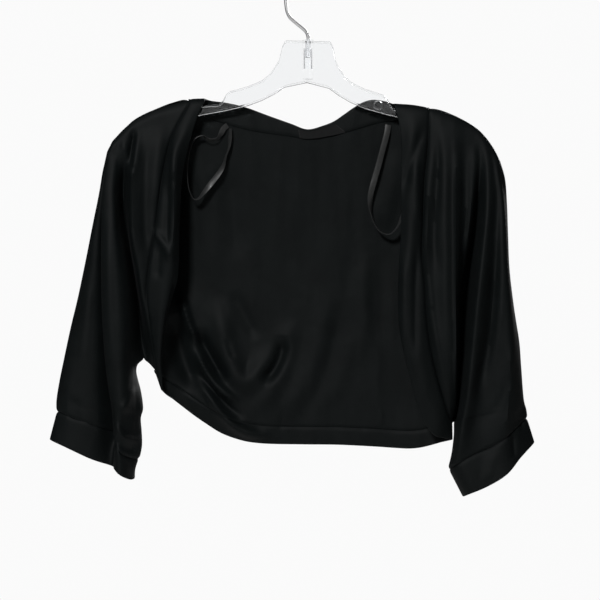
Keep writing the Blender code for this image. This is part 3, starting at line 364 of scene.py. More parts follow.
CUFF_LEFT_HEM: Table = (
    (-277.5, 509, 10), (-259, 517.3, -2), (-232, 529.7, -3), (-211, 537, 6), (-206, 540, -21),
    (-201, 545, -30), (-190.5, 550.5, -18), (-187, 549, -4), (-206, 536, 15), (-228, 526, 23),
    (-255, 515, 20),
)
CUFF_RIGHT_HEM: Table = (
    (245, 512, 10), (229, 528, -12), (214, 545, -24), (192.9, 558, -23), (174.3, 566, -20),
    (168.5, 569, -5), (184, 557, 12), (206, 542, 18), (230, 523, 16),
)

# Folds of the back, seen through the open front. The hem band takes the same ones.
BACK_FOLDS: Tuple[Fold, ...] = (
    Fold("tube", 8, 12, (
        (-96, 350), (-92, 391), (-85, 420), (-76, 440), (-66, 447), (-55, 440), (-45, 424), (-38, 404),
    )),
    Fold("wedge_hollow", -12, 6.5, ((-121, 388), (-112, 408), (-103, 424), (-95, 438), (-87, 452))),
    Fold("crescent_hollow", -11, 6.5, ((-25, 396), (-27, 412), (-31, 425), (-39, 438), (-53, 449))),
    Fold("swoop_crest", 8.5, 4.6, (
        (-121, 408), (-113, 429), (-103, 445), (-92, 457), (-82, 464), (-70, 468),
    )),
    Fold("swoop_hollow", -5, 4.5, ((-121, 428), (-111, 446), (-97, 464), (-82, 478), (-66, 488))),
    Fold("outer_swoop", 9, 5.2, (
        (-117, 442), (-111, 453), (-104, 465), (-94, 480), (-80, 495), (-65, 503), (-48, 506), (-34, 506),
    )),
    Fold("left_lip", 8, 4.4, ((-140, 345), (-134, 365), (-128, 386), (-121, 401), (-119, 413))),
    Fold("left_hollow", -15, 22, ((-150, 190), (-154, 240), (-153, 300), (-150, 345), (-146, 375))),
    Fold("left_low_hollow", -12, 10.5, ((-144, 372), (-141, 398), (-136, 420), (-127, 441), (-115, 460))),
    Fold("inner_swoop", 4, 10, ((-17, 375), (-24, 412), (-33, 445), (-48, 470), (-66, 485))),
    Fold("tube_side_hollow", -3, 7, ((-80, 346), (-72, 368), (-60, 390), (-55, 405))),
    Fold("tube_tick", -2, 3, ((-88, 400), (-84, 412), (-79, 425))),
    Fold("diagonal", 3.2, 12, ((26, 335), (18, 380), (8, 420), (-5, 452), (-22, 478), (-44, 500))),
    Fold("diagonal_hollow", -1.2, 7, ((38, 360), (30, 400), (20, 432), (9, 462), (-6, 490))),
    Fold("second_diagonal", 1.2, 8, ((52, 380), (44, 420), (32, 456), (18, 484))),
    Fold("low_pucker", -0.6, 3, ((-24, 474), (-27, 488), (-30, 503))),
    Fold("right_trough", -1.4, 9, ((84, 290), (82, 330), (81, 372), (84, 410))),
    Fold("right_ridge", 2, 9, ((64, 300), (62, 350), (60, 400), (58, 440))),
    Fold("right_tick", 0.6, 2.5, ((80, 476), (81, 485), (81, 496))),
    Fold("upper_drag_left", 2, 12, ((-118, 190), (-110, 240), (-106, 300), (-104, 350))),
    Fold("upper_hollow_left", -2, 12, ((-92, 210), (-80, 260), (-74, 320))),
    Fold("upper_drag_right", 2, 13, ((100, 190), (90, 240), (76, 290))),
)
# Folds of the left front, its band, its sleeve and its cuff.
LEFT_FOLDS: Tuple[Fold, ...] = (
    Fold("band_crest", 4, 4.2, (
        (-141, 172), (-143.5, 200), (-143, 227), (-142.2, 251), (-143.9, 284), (-146.4, 315), (-147, 345),
    ), 0.3),
    Fold("band_trough", -3, 3.6, ((-148, 225), (-149.6, 255), (-150, 285), (-149, 303))),
    Fold("fork_ridge", 3.4, 3, ((-166, 278), (-160, 291), (-152, 301), (-147, 320)), 0.2),
    Fold("fork_slit", -3, 3.6, ((-158.5, 296), (-159, 316), (-160.5, 340))),
    Fold("seam_ridge", 2.2, 4.6, ((-156, 172), (-159.4, 200), (-161.5, 233), (-164, 262))),
    Fold("panel_trough", -4, 5.5, ((-170, 180), (-173.5, 215), (-174.5, 250), (-174, 290), (-171, 320))),
    Fold("panel_ridge", 4, 4.6, ((-180, 165), (-184, 200), (-188, 227), (-188.5, 284), (-185, 318)), -0.2),
    Fold("shoulder_dart", -4, 3.2, ((-186, 172), (-188.5, 195), (-190.5, 222))),
    Fold("shoulder_ridge", 3, 4, ((-197, 184), (-194.5, 205), (-191, 230))),
    Fold("second_dart", -2.5, 4, ((-203, 198), (-202, 222), (-201, 250))),
    Fold("lobe_streak", 2, 4, ((-212, 262), (-212.5, 320), (-211, 390), (-207, 440))),
    Fold("cuff_crease", 3.2, 3.6, ((-184, 450), (-189, 460), (-195, 471), (-201, 480)), 0.3),
    Fold("elbow_dent", -4.5, 6, ((-190, 474), (-194, 487), (-196, 498), (-195, 507))),
    Fold("crumple_ridge", 4, 3.6, (
        (-206, 489), (-201, 499), (-193, 507.5), (-184, 510), (-177, 508),
    ), 0.3),
    Fold("crumple_hollow", -4, 3.6, ((-206, 502), (-201, 513), (-192, 519), (-181, 519))),
    Fold("strip_crumple", -2.2, 3.6, ((-252, 462), (-250, 475), (-250, 490))),
    Fold("strip_crumple_2", 1.8, 3.2, ((-243, 474), (-241.5, 484), (-242, 494))),
    Fold("strip_streak", 1.6, 4, ((-233, 330), (-238, 380), (-243, 440))),
)
# Folds of the right front, its band, its sleeve and its cuff.
RIGHT_FOLDS: Tuple[Fold, ...] = (
    Fold("seam_ridge", 2.8, 3, (
        (136, 180), (133, 215), (130, 250), (128.5, 300), (131.5, 340), (136, 385), (143, 425), (151, 458),
    )),
    Fold("near_trough", -3.5, 3.6, ((140, 172), (141, 210), (138.5, 255), (136.5, 295), (139, 335))),
    Fold("panel_soft", 2.2, 4.5, ((149, 190), (148.5, 260), (148.5, 340), (150, 420))),
    Fold("panel_edge", 4.5, 3.4, ((158, 172), (159.3, 210), (159.5, 300), (159.5, 400), (160, 474)), 0.5),
    Fold("second_trough", -4.5, 4.4, (
        (168, 180), (169.5, 215), (169.5, 260), (167.5, 305), (165, 350), (163, 410),
    )),
    Fold("third_ridge", 4.2, 4.4, ((179, 180), (181, 210), (180.5, 240), (177, 275), (173, 310))),
    Fold("deep_valley", -4.5, 4, (
        (186, 205), (184.5, 250), (180, 295), (174.5, 345), (170, 400), (166, 450),
    )),
    Fold("sleeve_crest", 3, 5, (
        (196, 200), (196, 250), (190, 300), (182, 365), (175.4, 433), (168.5, 478),
    ), 0.2),
    Fold("sleeve_hollow", -4.5, 5.6, ((203, 290), (200, 348), (195.8, 398), (187.3, 440), (179, 472))),
    Fold("sleeve_streak", 2.4, 4, ((207, 240), (208, 300), (207, 360), (202, 410), (194, 450))),
    Fold("outer_thin", 2.8, 3.4, ((220, 395), (218.5, 430), (216, 470), (211, 498), (205, 512))),
    Fold("outer_crease", -2.2, 4.2, ((222, 425), (216, 450), (208, 470), (197, 487))),
    Fold("short_crease", -2, 2.4, ((228, 484), (231, 492), (234, 500))),
    Fold("band_diagonal", -3.4, 4.6, ((127, 166), (121, 184), (114.5, 202), (108, 228), (105, 250))),
    Fold("band_lengthwise", -3.4, 3.8, ((118, 290), (116.5, 330), (115.5, 375), (117, 430))),
    Fold("band_ridge", 2.6, 3.6, ((104, 300), (103.7, 350), (104.5, 400), (109, 430))),
    Fold("band_upper_ridge", 2.6, 4, ((117, 205), (118, 245), (117.5, 280))),
    Fold("cuff_fold", -2.6, 3, ((221, 500), (221.4, 515), (222, 532))),
    Fold("cuff_fold_2", 2, 4, ((200, 520), (196, 538), (192, 556))),
)

# Route of each satin hanger loop, from one sewn end to the other, and how it twists along the way:
# (share of the way, degrees).
LOOP_LEFT: Table = (
    (-86, 169.5, 8), (-90, 173, 6.5), (-93.5, 179.3, 5), (-97, 184.4, 4), (-105.8, 185.8, 3),
    (-112.8, 181.5, 2), (-121, 185, 2), (-127, 200, 2), (-129, 222, 3), (-127, 240, 4), (-122, 249.5, 5),
    (-117.4, 248.6, 5), (-111.5, 242, 5), (-103.8, 232.4, 6), (-97.6, 224.6, 6), (-91, 214.2, 7),
    (-88, 203, 7), (-84.6, 194, 7.5), (-83.4, 184.5, 7.5), (-83, 173, 8),
)
LOOP_RIGHT: Table = (
    (88, 169, 8.6), (86.6, 178, 6.9), (81.8, 196, 6), (77, 214, 6), (71.6, 233, 7), (68.6, 246, 8),
    (68.4, 257, 9), (71, 269.5, 10), (75, 279, 10), (80.5, 285.2, 9), (89.2, 287.1, 6), (97.2, 279.8, 3),
    (102.5, 266, 1), (105.5, 240, 0), (105, 207, 2), (102.5, 186, 5), (100, 169, 8),
)
TWIST_LEFT: Table = (
    (0, 20), (0.04, 12), (0.08, 56), (0.11, 64), (0.15, 58), (0.185, 86), (0.55, 86),
    (0.58, 68), (0.62, 42), (0.68, 18), (0.73, 24), (0.78, 34), (0.82, 64), (0.87, 76),
    (0.91, 64), (0.95, 48), (1, 62),
)
TWIST_RIGHT: Table = (
    (0, 4), (0.14, 12), (0.24, -6), (0.31, 18), (0.35, 46), (0.39, 76), (0.52, 84),
    (0.56, 72), (0.6, 66), (0.66, 86), (1, 86),
)

# Clear hanger: heights of its top and bottom edges at distances from the middle, before it tilts.
HANGER_TOP: Table = (
    (0, 79), (24, 79), (27, 84), (31, 101.5), (40, 115.6), (48.6, 123), (63.7, 129.6), (83, 135.5), (87, 139),
    (90, 145.5), (94, 150), (104, 151), (128, 153.8), (146, 157.6), (166, 164.4), (187, 176.6),
    (199, 190.6), (205, 200.5),
)
HANGER_BOTTOM: Table = (
    (0, 124), (24, 129.6), (34.6, 137), (48.6, 144.7), (63.7, 150.7), (88.6, 157), (120, 163.6),
    (150, 172.5), (175, 184), (190, 194.5), (199, 203), (205, 207),
)
HANGER_STEPS = (0, 12, 20, 23, 24.5, 26, 27, 28, 29, 30, 31, 33, 35, 37.5, 40, 44, 48, 52, 56, 60, 64, 69, 74,
                79, 83, 85, 87, 88.5, 90, 92, 94, 99, 104, 110, 116, 122, 128, 134, 140, 146, 152, 159, 166,
                172, 177, 182, 187, 191, 195, 199, 202, 205)
HOOK_LEAD: Table = (
    (1, 83), (1.3, 78), (0.8, 73), (-1.2, 69), (-7.6, 63.2), (-14, 58), (-18.6, 53.4), (-21.8, 46),
    (-23.2, 34.6),
)


def world(rows: Sequence[Row]) -> Points:
    """Turns rows of (across, down, depth) into points (x, y, z), still in millimetres.

    Args:
        rows: Rows of a table; a row without a depth lies at 0.

    Returns:
        One point a row.
    """
    table = np.array([tuple(row[:3]) + (0.0,) * (3 - len(row[:3])) for row in rows], float)
    return table[:, (0, 2, 1)] * np.array((1.0, 1.0, -1.0))


def length(vectors: Points) -> Points:
    """Lengths of the vectors along the last axis, which is kept."""
    return np.linalg.norm(vectors, axis=-1, keepdims=True)


def unit(vectors: Points) -> Points:
    """The vectors at length 1."""
    return vectors / np.maximum(length(vectors), TINY)


def smooth_step(value: Points) -> Points:
    """0 below 0, 1 above 1, and a soft S between."""
    share = np.clip(value, 0.0, 1.0)
    return share * share * (3.0 - 2.0 * share)


def curve_between(p0: Points, p1: Points, p2: Points, p3: Points, share: float) -> Points:
    """Points on the centripetal Catmull-Rom curves through four points or rows of points.

    Args:
        p0: The point before.
        p1: Where the stretch begins.
        p2: Where it ends.
        p3: The point after.
        share: How far along the stretch the wanted point is.

    Returns:
        The point, or one a row.
    """
    t1, span, rest = (np.maximum(length(step), SHORTEST) ** 0.5 for step in (p1 - p0, p2 - p1, p3 - p2))
    t2 = t1 + span
    t3 = t2 + rest
    t = t1 + (t2 - t1) * share
    a1 = p0 + (p1 - p0) * t / t1
    a2 = p1 + (p2 - p1) * (t - t1) / (t2 - t1)
    a3 = p2 + (p3 - p2) * (t - t2) / (t3 - t2)
    b1 = a1 + (a2 - a1) * t / t2
    b2 = a2 + (a3 - a2) * (t - t1) / (t3 - t1)
    return b1 + (b2 - b1) * (t - t1) / (t2 - t1)


def running(steps: Points) -> Points:
    """Sums of the steps so far along the first axis, from 0."""
    return np.concatenate([np.zeros_like(steps[:1]), np.cumsum(steps, axis=0)])


def travelled(points: Points) -> Points:
    """How far each point is from the first along a line, or along the first axis of a grid."""
    return running(np.linalg.norm(np.diff(points, axis=0), axis=-1))


def placed(points: Points, wanted: Points) -> Points:
    """Points at the wanted distances along the straight runs between the given ones."""
    along = travelled(points)
    return np.stack([np.interp(wanted, along, points[:, axis]) for axis in range(points.shape[1])], axis=1)


def spline(points: Points, count: int, lead: Sequence[float] = (),
           before: Optional[Points] = None, after: Optional[Points] = None) -> Points:
    """Points on a Catmull-Rom curve, evenly spaced after the lead.

    Args:
        points: The points that it passes through.
        count: How many points to return.
        lead: Distances from the start of the first few of them.
        before: Where the curve comes from, if it goes on beyond its start.
        after: Where it goes to beyond its end.

    Returns:
        The points, count of them.
    """
    points = np.asarray(points, float)
    first = 2 * points[0] - points[1] if before is None else before
    last = 2 * points[-1] - points[-2] if after is None else after
    ends = np.vstack([first, points, last])
    fine = [
        curve_between(*ends[index:index + 4], step / CURVE_STEPS)
        for index in range(len(points) - 1) for step in range(CURVE_STEPS)
    ]
    fine = np.array(fine + [points[-1]])
    start = lead[-1] if lead else 0.0
    body = np.linspace(start, travelled(fine)[-1], count - len(lead))
    return placed(fine, np.concatenate([[0.0], lead[:-1], body]) if lead else body)


def through(lines: Sequence[Points], counts: Sequence[int],
            before: Optional[Points] = None, after: Optional[Points] = None) -> Points:
    """A grid of points across lines that have the same number of rows.

    Args:
        lines: One array of points a line.
        counts: How many columns each gap between two lines gets.
        before: The line that would come before the first.
        after: The line that would come after the last.

    Returns:
        An array of rows, columns and coordinates.
    """
    first = 2 * lines[0] - lines[1] if before is None else before
    last = 2 * lines[-1] - lines[-2] if after is None else after
    ends = [first, *lines, last]
    columns = []
    for index, count in enumerate(counts):
        columns += [curve_between(*ends[index:index + 4], step / count) for step in range(count)]
    return np.stack(columns + [lines[-1]], axis=1)


def column_counts(lines: Sequence[Points], spacing: float) -> List[int]:
    """How many columns bring each gap between two lines near the spacing."""
    return [max(1, round(float(length(b - a).mean()) / spacing)) for a, b in zip(lines, lines[1:])]


def height_at(table: Sequence[Row], across: float) -> Tuple[float, ...]:
    """Linear value of a table of (across, value, ...) rows at one place across."""
    rows = np.array(sorted(table), float)
    return tuple(float(np.interp(across, rows[:, 0], rows[:, k])) for k in range(1, rows.shape[1]))


def shoulder_rows(across: float, facing: int) -> Table:
    """First rows of a line that starts on the shoulder: facing is -1 on the front and +1 on the back."""
    top = height_at(SHOULDER_LEFT if across < 0 else SHOULDER_RIGHT, across)[0]
    return ((across, top, 0.0),) + tuple((across, top + down, facing * out) for down, out in SHOULDER_ROLL)


def fine(rows: Table) -> Table:
    """A seam as a fine table of (across, down, depth)."""
    return tuple((x, -z, y) for x, y, z in spline(world(rows), SEAM_POINTS))


def on_seam(points: Points, seam: Table) -> Points:
    """The points moved on to a seam's line.

    Args:
        points: Points that keep their place across.
        seam: The seam's rows.

    Returns:
        The moved points.
    """
    across, down, depth = np.array(sorted(fine(seam))).T
    return np.stack([
        points[:, 0], np.interp(points[:, 0], across, depth), -np.interp(points[:, 0], across, down),
    ], axis=1)


def grid_normals(grid: Points, closed: bool = False) -> Points:
    """Unit normals of a grid, by the right-hand rule from its rows to its columns.

    Args:
        grid: Rows, columns and coordinates.
        closed: Whether the last row goes on to the first.

    Returns:
        One normal a point.
    """
    padded = np.concatenate([grid[-1:], grid, grid[:1]]) if closed else grid
    normals = unit(np.cross(np.gradient(padded, axis=0), np.gradient(padded, axis=1)))
    return normals[1:-1] if closed else normals


def sense(grid: Points, hint: Points) -> float:
    """+1 if the grid's normals point along the hint, which is one vector or one a point, and -1 if not."""
    return 1.0 if float((grid_normals(grid) * hint).sum()) > 0 else -1.0


def relaxed(grid: Points, passes: int) -> Points:
    """The grid with the depth of its inner points evened out, and its edges kept.

    Args:
        grid: Rows, columns and coordinates.
        passes: How often to even them out.

    Returns:
        The evened grid.
    """
    grid = grid.copy()
    for _ in range(passes):
        depth = grid[..., 1]
        mean = (depth[:-2, 1:-1] + depth[2:, 1:-1] + depth[1:-1, :-2] + depth[1:-1, 2:]) / 4
        grid[1:-1, 1:-1, 1] = 0.5 * depth[1:-1, 1:-1] + 0.5 * mean
    return grid


def relaxed_together(upper: Points, parts: Sequence[Tuple[int, Points]],
                     passes: int) -> Tuple[Points, List[Points]]:
    """An upper grid and the grids that hang from its last row, evened out across the level where they meet.

    Args:
        upper: The grid above.
        parts: For each grid below, the column of the upper one at which it starts, and its points.
        passes: How often to even them out.

    Returns:
        The upper grid and the lower ones.
    """
    rows = min(len(lower) for _, lower in parts) - 1
    under = np.repeat(upper[-1:], rows, axis=0)
    hangs = np.zeros(upper.shape[1], bool)
    for start, lower in parts:
        under[:, start:start + lower.shape[1]] = lower[1:rows + 1]
        hangs[start:start + lower.shape[1]] = True
    evened = relaxed(np.vstack([upper, under]), passes)[:len(upper)]
    evened[-1, ~hangs] = upper[-1, ~hangs]
    lowers = []
    for start, lower in parts:
        over = upper[-rows - 1:-1, start:start + lower.shape[1]]
        lowers.append(relaxed(np.vstack([over, lower]), passes)[rows:])
    return evened, lowers


def edge_first(grid: Points, edge: Edge) -> Points:
    """A view of the grid whose first axis starts at the edge."""
    turned = grid.swapaxes(0, 1) if edge in (Edge.START, Edge.END) else grid
    return turned[::-1] if edge in (Edge.FOOT, Edge.END) else turned


def edge_back(turned: Points, edge: Edge) -> Points:
    """Undoes edge_first."""
    grid = turned[::-1] if edge in (Edge.FOOT, Edge.END) else turned
    return grid.swapaxes(0, 1) if edge in (Edge.START, Edge.END) else grid


def refined(grid: Points, edge: Edge, steps: Sequence[float]) -> Points:
    """The grid with closer lines beside one edge.

    Args:
        grid: Rows, columns and coordinates.
        edge: Which edge.
        steps: Distances from the edge, in millimetres, at which there is a line.

    Returns:
        The grid with those lines in place of the ones that lay that near.
    """
    turned = edge_first(grid, edge)
    along = running(np.linalg.norm(np.diff(turned, axis=0), axis=2).mean(axis=1))
    wanted = np.concatenate([[0.0], steps, along[along > steps[-1] * CLEARANCE]])
    place = np.interp(wanted, along, np.arange(len(along)))
    low = np.minimum(place.astype(int), len(along) - 2)
    share = (place - low)[:, None, None]
    return edge_back(turned[low] * (1 - share) + turned[low + 1] * share, edge)


def fold_rise(places: Points, fold: Fold) -> Points:
    """How far one fold lifts the cloth.

    Args:
        places: Points as (x, z).
        fold: The fold.

    Returns:
        One height a point, in millimetres.
    """
    path = spline(world(fold.path), FOLD_STEPS * len(fold.path))[:, (0, 2)]
    nearest = np.full(len(places), np.inf)
    share = np.zeros(len(places))
    flank = np.zeros(len(places))
    for index, (a, b) in enumerate(zip(path, path[1:])):
        run = b - a
        along = np.clip((places - a) @ run / (run @ run), 0.0, 1.0)
        off = places - a - along[:, None] * run
        distance = np.hypot(off[:, 0], off[:, 1])
        closer = distance < nearest
        nearest = np.where(closer, distance, nearest)
        share = np.where(closer, (index + along) / (len(path) - 1), share)
        flank = np.where(closer, np.sign(run[0] * off[:, 1] - run[1] * off[:, 0]), flank)
    width = fold.half_width * (1.0 + fold.lean * flank)
    fade = smooth_step(share / FOLD_FADE) * smooth_step((1.0 - share) / FOLD_FADE)
    return fold.rise * np.exp(-((nearest / width) ** 2)) * fade


def draped(grid: Points, folds: Sequence[Fold]) -> Points:
    """The grid with its folds, and with the slow waves that all of the hanging cloth shares.

    Args:
        grid: Rows, columns and coordinates.
        folds: The folds that may cross it.

    Returns:
        The moved grid.
    """
    flat = grid.copy().reshape(-1, 3)
    places = flat[:, (0, 2)]
    for fold in folds:
        path = world(fold.path)[:, (0, 2)]
        reach = FOLD_REACH * fold.half_width
        near = ((places > path.min(axis=0) - reach) & (places < path.max(axis=0) + reach)).all(axis=1)
        flat[near, 1] -= fold_rise(places[near], fold)
    for wave_x, wave_z, rise, seed in DRAPE_WAVES:
        waves = [noise.noise(Vector((x / wave_x, z / wave_z, seed))) for x, z in places]
        flat[:, 1] += rise * np.array(waves)
    return flat.reshape(grid.shape)


@dataclass(frozen=True)
class Groove:
    """How cloth turns in to a seam: its depth and width there, and how far off the closer lines lie."""

    depth: float
    width: float = 1.7
    steps: Tuple[float, ...] = (0.5, 1.0, 1.7, 2.6)


def seamed(grid: Points, edge: Edge, facing: Facing, groove: Groove, folds: Sequence[Fold]) -> Points:
    """The grid with its folds, and with a groove along one edge, where the cloth turns in to its seam.

    Args:
        grid: Rows, columns and coordinates.
        edge: The edge at the seam.
        facing: Which way is out of the garment here.
        groove: The groove's shape.
        folds: The folds that may cross the grid.

    Returns:
        The finer grid, moved.
    """
    grid = draped(refined(grid, edge, groove.steps), folds)
    normals = grid_normals(grid) * sense(grid, facing.way)
    turned = edge_first(grid, edge)
    fall = groove.depth * np.exp(-((travelled(turned) / groove.width) ** 2))
    turned -= edge_first(normals, edge) * fall[..., None]
    return grid


class Surface:
    """An open surface of quads in millimetres, grown from grids, that becomes a wall of cloth."""

    def __init__(self, hint: Points) -> None:
        """Starts an empty surface.

        Args:
            hint: A vector that points out of the garment from most of the surface, or 0 if it is turned later.
        """
        self.hint = hint
        self.points: List[Points] = []
        self.places: List[Points] = []
        self.faces: List[Points] = []
        self.count = 0

    def add(self, grid: Points, first: Optional[Points] = None, closed: bool = False,
            origin: Pair = (0.0, 0.0)) -> Points:
        """Adds a grid.

        Args:
            grid: Rows, columns and coordinates.
            first: Indices of points already in the surface that are the grid's first row.
            closed: Whether the last row goes on to the first.
            origin: Place of the grid's corner in the cloth's own coordinates, in millimetres.

        Returns:
            The index of each point, by row and column.
        """
        across = running(length(np.diff(grid, axis=1)).mean(axis=(0, 2)))
        down = running(length(np.diff(grid, axis=0)).mean(axis=(1, 2)))
        place = np.stack(np.meshgrid(origin[0] + across, origin[1] + down), axis=-1)
        skip = 0 if first is None else 1
        rows, columns = grid.shape[0] - skip, grid.shape[1]
        index = np.arange(self.count, self.count + rows * columns).reshape(rows, columns)
        self.points.append(grid[skip:].reshape(-1, 3))
        self.places.append(place[skip:].reshape(-1, 2))
        self.count += rows * columns
        if first is not None:
            index = np.vstack([first, index])
        ring = np.vstack([index, index[:1]]) if closed else index
        quads = np.stack([ring[:-1, :-1], ring[1:, :-1], ring[1:, 1:], ring[:-1, 1:]], axis=-1)
        self.faces.append(quads.reshape(-1, 4))
        return index

    def wall(self, name: str, thickness: float) -> Piece:
        """Makes the object: the surface with the wall's thickness, half on each side, and closed rims.

        Args:
            name: Name of the object.
            thickness: Thickness of the cloth in millimetres.

        Returns:
            The object, linked to the scene.
        """
        points, places = np.vstack(self.points), np.vstack(self.places)
        faces = np.vstack(self.faces)
        corners = points[faces]
        face_normals = np.cross(corners[:, 2] - corners[:, 0], corners[:, 3] - corners[:, 1])
        if float((face_normals * self.hint).sum()) < 0:
            faces, face_normals = faces[:, ::-1], -face_normals
        normals = np.zeros_like(points)
        for corner in range(4):
            np.add.at(normals, faces[:, corner], face_normals)
        offset = unit(normals) * thickness / 2
        edges = np.concatenate([np.stack([faces[:, k], faces[:, (k + 1) % 4]], 1) for k in range(4)])
        key = edges[:, 0].astype(np.int64) * len(points) + edges[:, 1]
        back = edges[:, 1].astype(np.int64) * len(points) + edges[:, 0]
        rim = edges[~np.isin(key, back)]
        inner = len(points)
        rim_faces = np.stack([rim[:, 1], rim[:, 0], rim[:, 0] + inner, rim[:, 1] + inner], 1)
        return mesh_object(
            name,
            np.vstack([points + offset, points - offset]),
            np.vstack([faces, faces[:, ::-1] + inner, rim_faces]),
            np.vstack([places, places]),
        )


def in_scene(name: str, data: bpy.types.ID) -> Piece:
    """A new object, linked to the scene.

    Args:
        name: Name of the object.
        data: Its mesh, camera or light.

    Returns:
        The object.
    """
    obj = bpy.data.objects.new(name, data)
    bpy.context.scene.collection.objects.link(obj)
    return obj


def mesh_object(name: str, points: Points, faces: Sequence[Sequence[int]],
                places: Optional[Points] = None, sharp: float = 50.0) -> Piece:
    """A smooth mesh object from points in millimetres.

    Args:
        name: Name of the object.
        points: One point a row.
        faces: Indices of each face's corners.
        places: The cloth's own coordinates of each point, in millimetres, if it has them.
        sharp: Angle in degrees above which an edge stays sharp.

    Returns:
        The object, linked to the scene.
    """
    mesh = bpy.data.meshes.new(name)
    mesh.from_pydata((np.asarray(points) * MM).tolist(), [], [list(map(int, face)) for face in faces])
    if places is not None:
        layer = mesh.uv_layers.new(name=CLOTH_PLACE)
        corners = np.empty(len(mesh.loops), np.int32)
        mesh.loops.foreach_get("vertex_index", corners)
        layer.data.foreach_set("uv", (np.asarray(places) * MM)[corners].astype(np.float32).ravel())
    mesh.validate()
    mesh.shade_smooth()
    mesh.set_sharp_from_angle(angle=math.radians(sharp))
    return in_scene(name, mesh)


def ring_faces(rows: int, sides: int, start: int = 0, closed: bool = False) -> List[List[int]]:
    """Faces between rings of points, with flat ends unless the last ring goes on to the first.

    Args:
        rows: How many rings there are.
        sides: How many points a ring has.
        start: Index of the first point.
        closed: Whether the last ring goes on to the first.

    Returns:
        The indices of each face's corners.
    """
    faces = []
    for row in range(rows if closed else rows - 1):
        here, after = start + row * sides, start + (row + 1) % rows * sides
        for k in range(sides):
            j = (k + 1) % sides
            faces.append([here + k, after + k, after + j, here + j])
    if closed:
        return faces
    last = start + (rows - 1) * sides
    return faces + [[start + k for k in range(sides)], [last + k for k in range(sides)][::-1]]


@dataclass(frozen=True)
class ClothFinish:
    """Colour and surface of one cloth; faded is what its uneven threads show."""

    colour: Triple
    faded: Triple
    roughness: float
    specular: float
    sheen: float
    pitch_mm: float
    relief_mm: float
    relief_strength: float = 0.55
    sheen_roughness: float = 0.4
    sheen_tint: Tuple[float, ...] = (0.55, 0.57, 0.62, 1.0)
    lint_gain: float = 5.0
    lint_lift: float = 0.02

    def lint(self) -> Tuple[float, ...]:
        """Colour of the lint that clings to it."""
        return tuple(self.lint_gain * value + self.lint_lift for value in self.faded)


@dataclass(frozen=True)
class HardFinish:
    """Colour and surface of the plastic or the metal; handling is how much its marks roughen it."""

    colour: Triple
    roughness: float
    metallic: float
    transmission: float
    ior: float
    handling: float = 0.04
    relief_mm: float = 0.02
    relief_strength: float = 0.2


JERSEY = ClothFinish(
    colour=(0.001, 0.0016, 0.0017), faded=(0.0024, 0.0034, 0.0035), roughness=0.64, specular=0.08,
    sheen=0.005, pitch_mm=0.75, relief_mm=0.05,
)
SATIN = ClothFinish(
    colour=(0.011, 0.0115, 0.0115), faded=(0.02, 0.0205, 0.0205), roughness=0.42, specular=0.2,
    sheen=0.01, pitch_mm=0.5, relief_mm=0.03,
)
LABEL = ClothFinish(
    colour=(0.003, 0.0032, 0.0033), faded=(0.005, 0.0052, 0.0054), roughness=0.55, specular=0.08,
    sheen=0.005, pitch_mm=0.55, relief_mm=0.05,
)
PLASTIC = HardFinish(
    colour=(0.96, 0.97, 0.98), roughness=0.035, metallic=0.0, transmission=1.0, ior=1.57,
)
WIRE = HardFinish(colour=(0.74, 0.74, 0.75), roughness=0.32, metallic=1.0, transmission=0.0, ior=1.45)


class Nodes:
    """Short calls for building a node tree."""

    def __init__(self, tree: Tree) -> None:
        """Keeps the tree."""
        self.tree = tree

    def feed(self, node: Node, inputs: Dict[object, object]) -> None:
        """Gives inputs of a node a value, or a link where the value is a socket."""
        for key, value in inputs.items():
            if isinstance(value, Socket):
                self.tree.links.new(value, node.inputs[key])
            else:
                node.inputs[key].default_value = value

    def add(self, kind: str, inputs: Optional[Dict[object, object]] = None, **settings: object) -> Node:
        """Adds a node.

        Args:
            kind: Its type.
            inputs: Values or sockets for some of its inputs, by name or place.
            settings: Its properties.

        Returns:
            The node.
        """
        node = self.tree.nodes.new(kind)
        for name, value in settings.items():
            setattr(node, name, value)
        self.feed(node, inputs or {})
        return node

    def math(self, operation: str, *values: object) -> Socket:
        """A Math node; each value is a socket or a number."""
        return self.add("ShaderNodeMath", dict(enumerate(values)), operation=operation).outputs[0]

    def noise(self, place: Socket, scale: float, detail: float = 2.0, dimensions: str = "3D") -> Socket:
        """A Noise Texture's value at a place."""
        inputs = {"Vector": place, "Scale": scale, "Detail": detail}
        return self.add("ShaderNodeTexNoise", inputs, noise_dimensions=dimensions).outputs[0]

    def stretched(self, place: Socket, scale: Row, turn: Row) -> Socket:
        """A place stretched and turned, so that marks run one way."""
        return self.add("ShaderNodeMapping", {"Vector": place, "Scale": scale, "Rotation": turn}).outputs[0]


def new_group(name: str, inputs: Dict[str, Tuple[str, Optional[float]]],
              outputs: Sequence[str]) -> Tuple[Tree, Nodes, Node, Node]:
    """An empty shader node group with named sockets.

    Args:
        name: Name of the group.
        inputs: For each input, its type and its default.
        outputs: Names of the outputs, all of them values.

    Returns:
        The tree, its helper, and its input and output nodes.
    """
    tree = bpy.data.node_groups.new(name, "ShaderNodeTree")
    for label, (kind, default) in inputs.items():
        socket = tree.interface.new_socket(name=label, in_out="INPUT", socket_type=kind)
        if default is not None:
            socket.default_value = default
    for label in outputs:
        tree.interface.new_socket(name=label, in_out="OUTPUT", socket_type=VALUE)
    nodes = Nodes(tree)
    return tree, nodes, nodes.add("NodeGroupInput"), nodes.add("NodeGroupOutput")


def new_material(name: str) -> Tuple[Material, Nodes, Node]:
    """A material with nodes.

    Args:
        name: Name of the material.

    Returns:
        The material, its helper and its shader.
    """
    material = bpy.data.materials.new(name)
    material.use_nodes = True
    return material, Nodes(material.node_tree), material.node_tree.nodes["Principled BSDF"]


def opaque(colour: Sequence[float]) -> Tuple[float, ...]:
    """A colour with its fourth value."""
    return (*colour, 1.0)


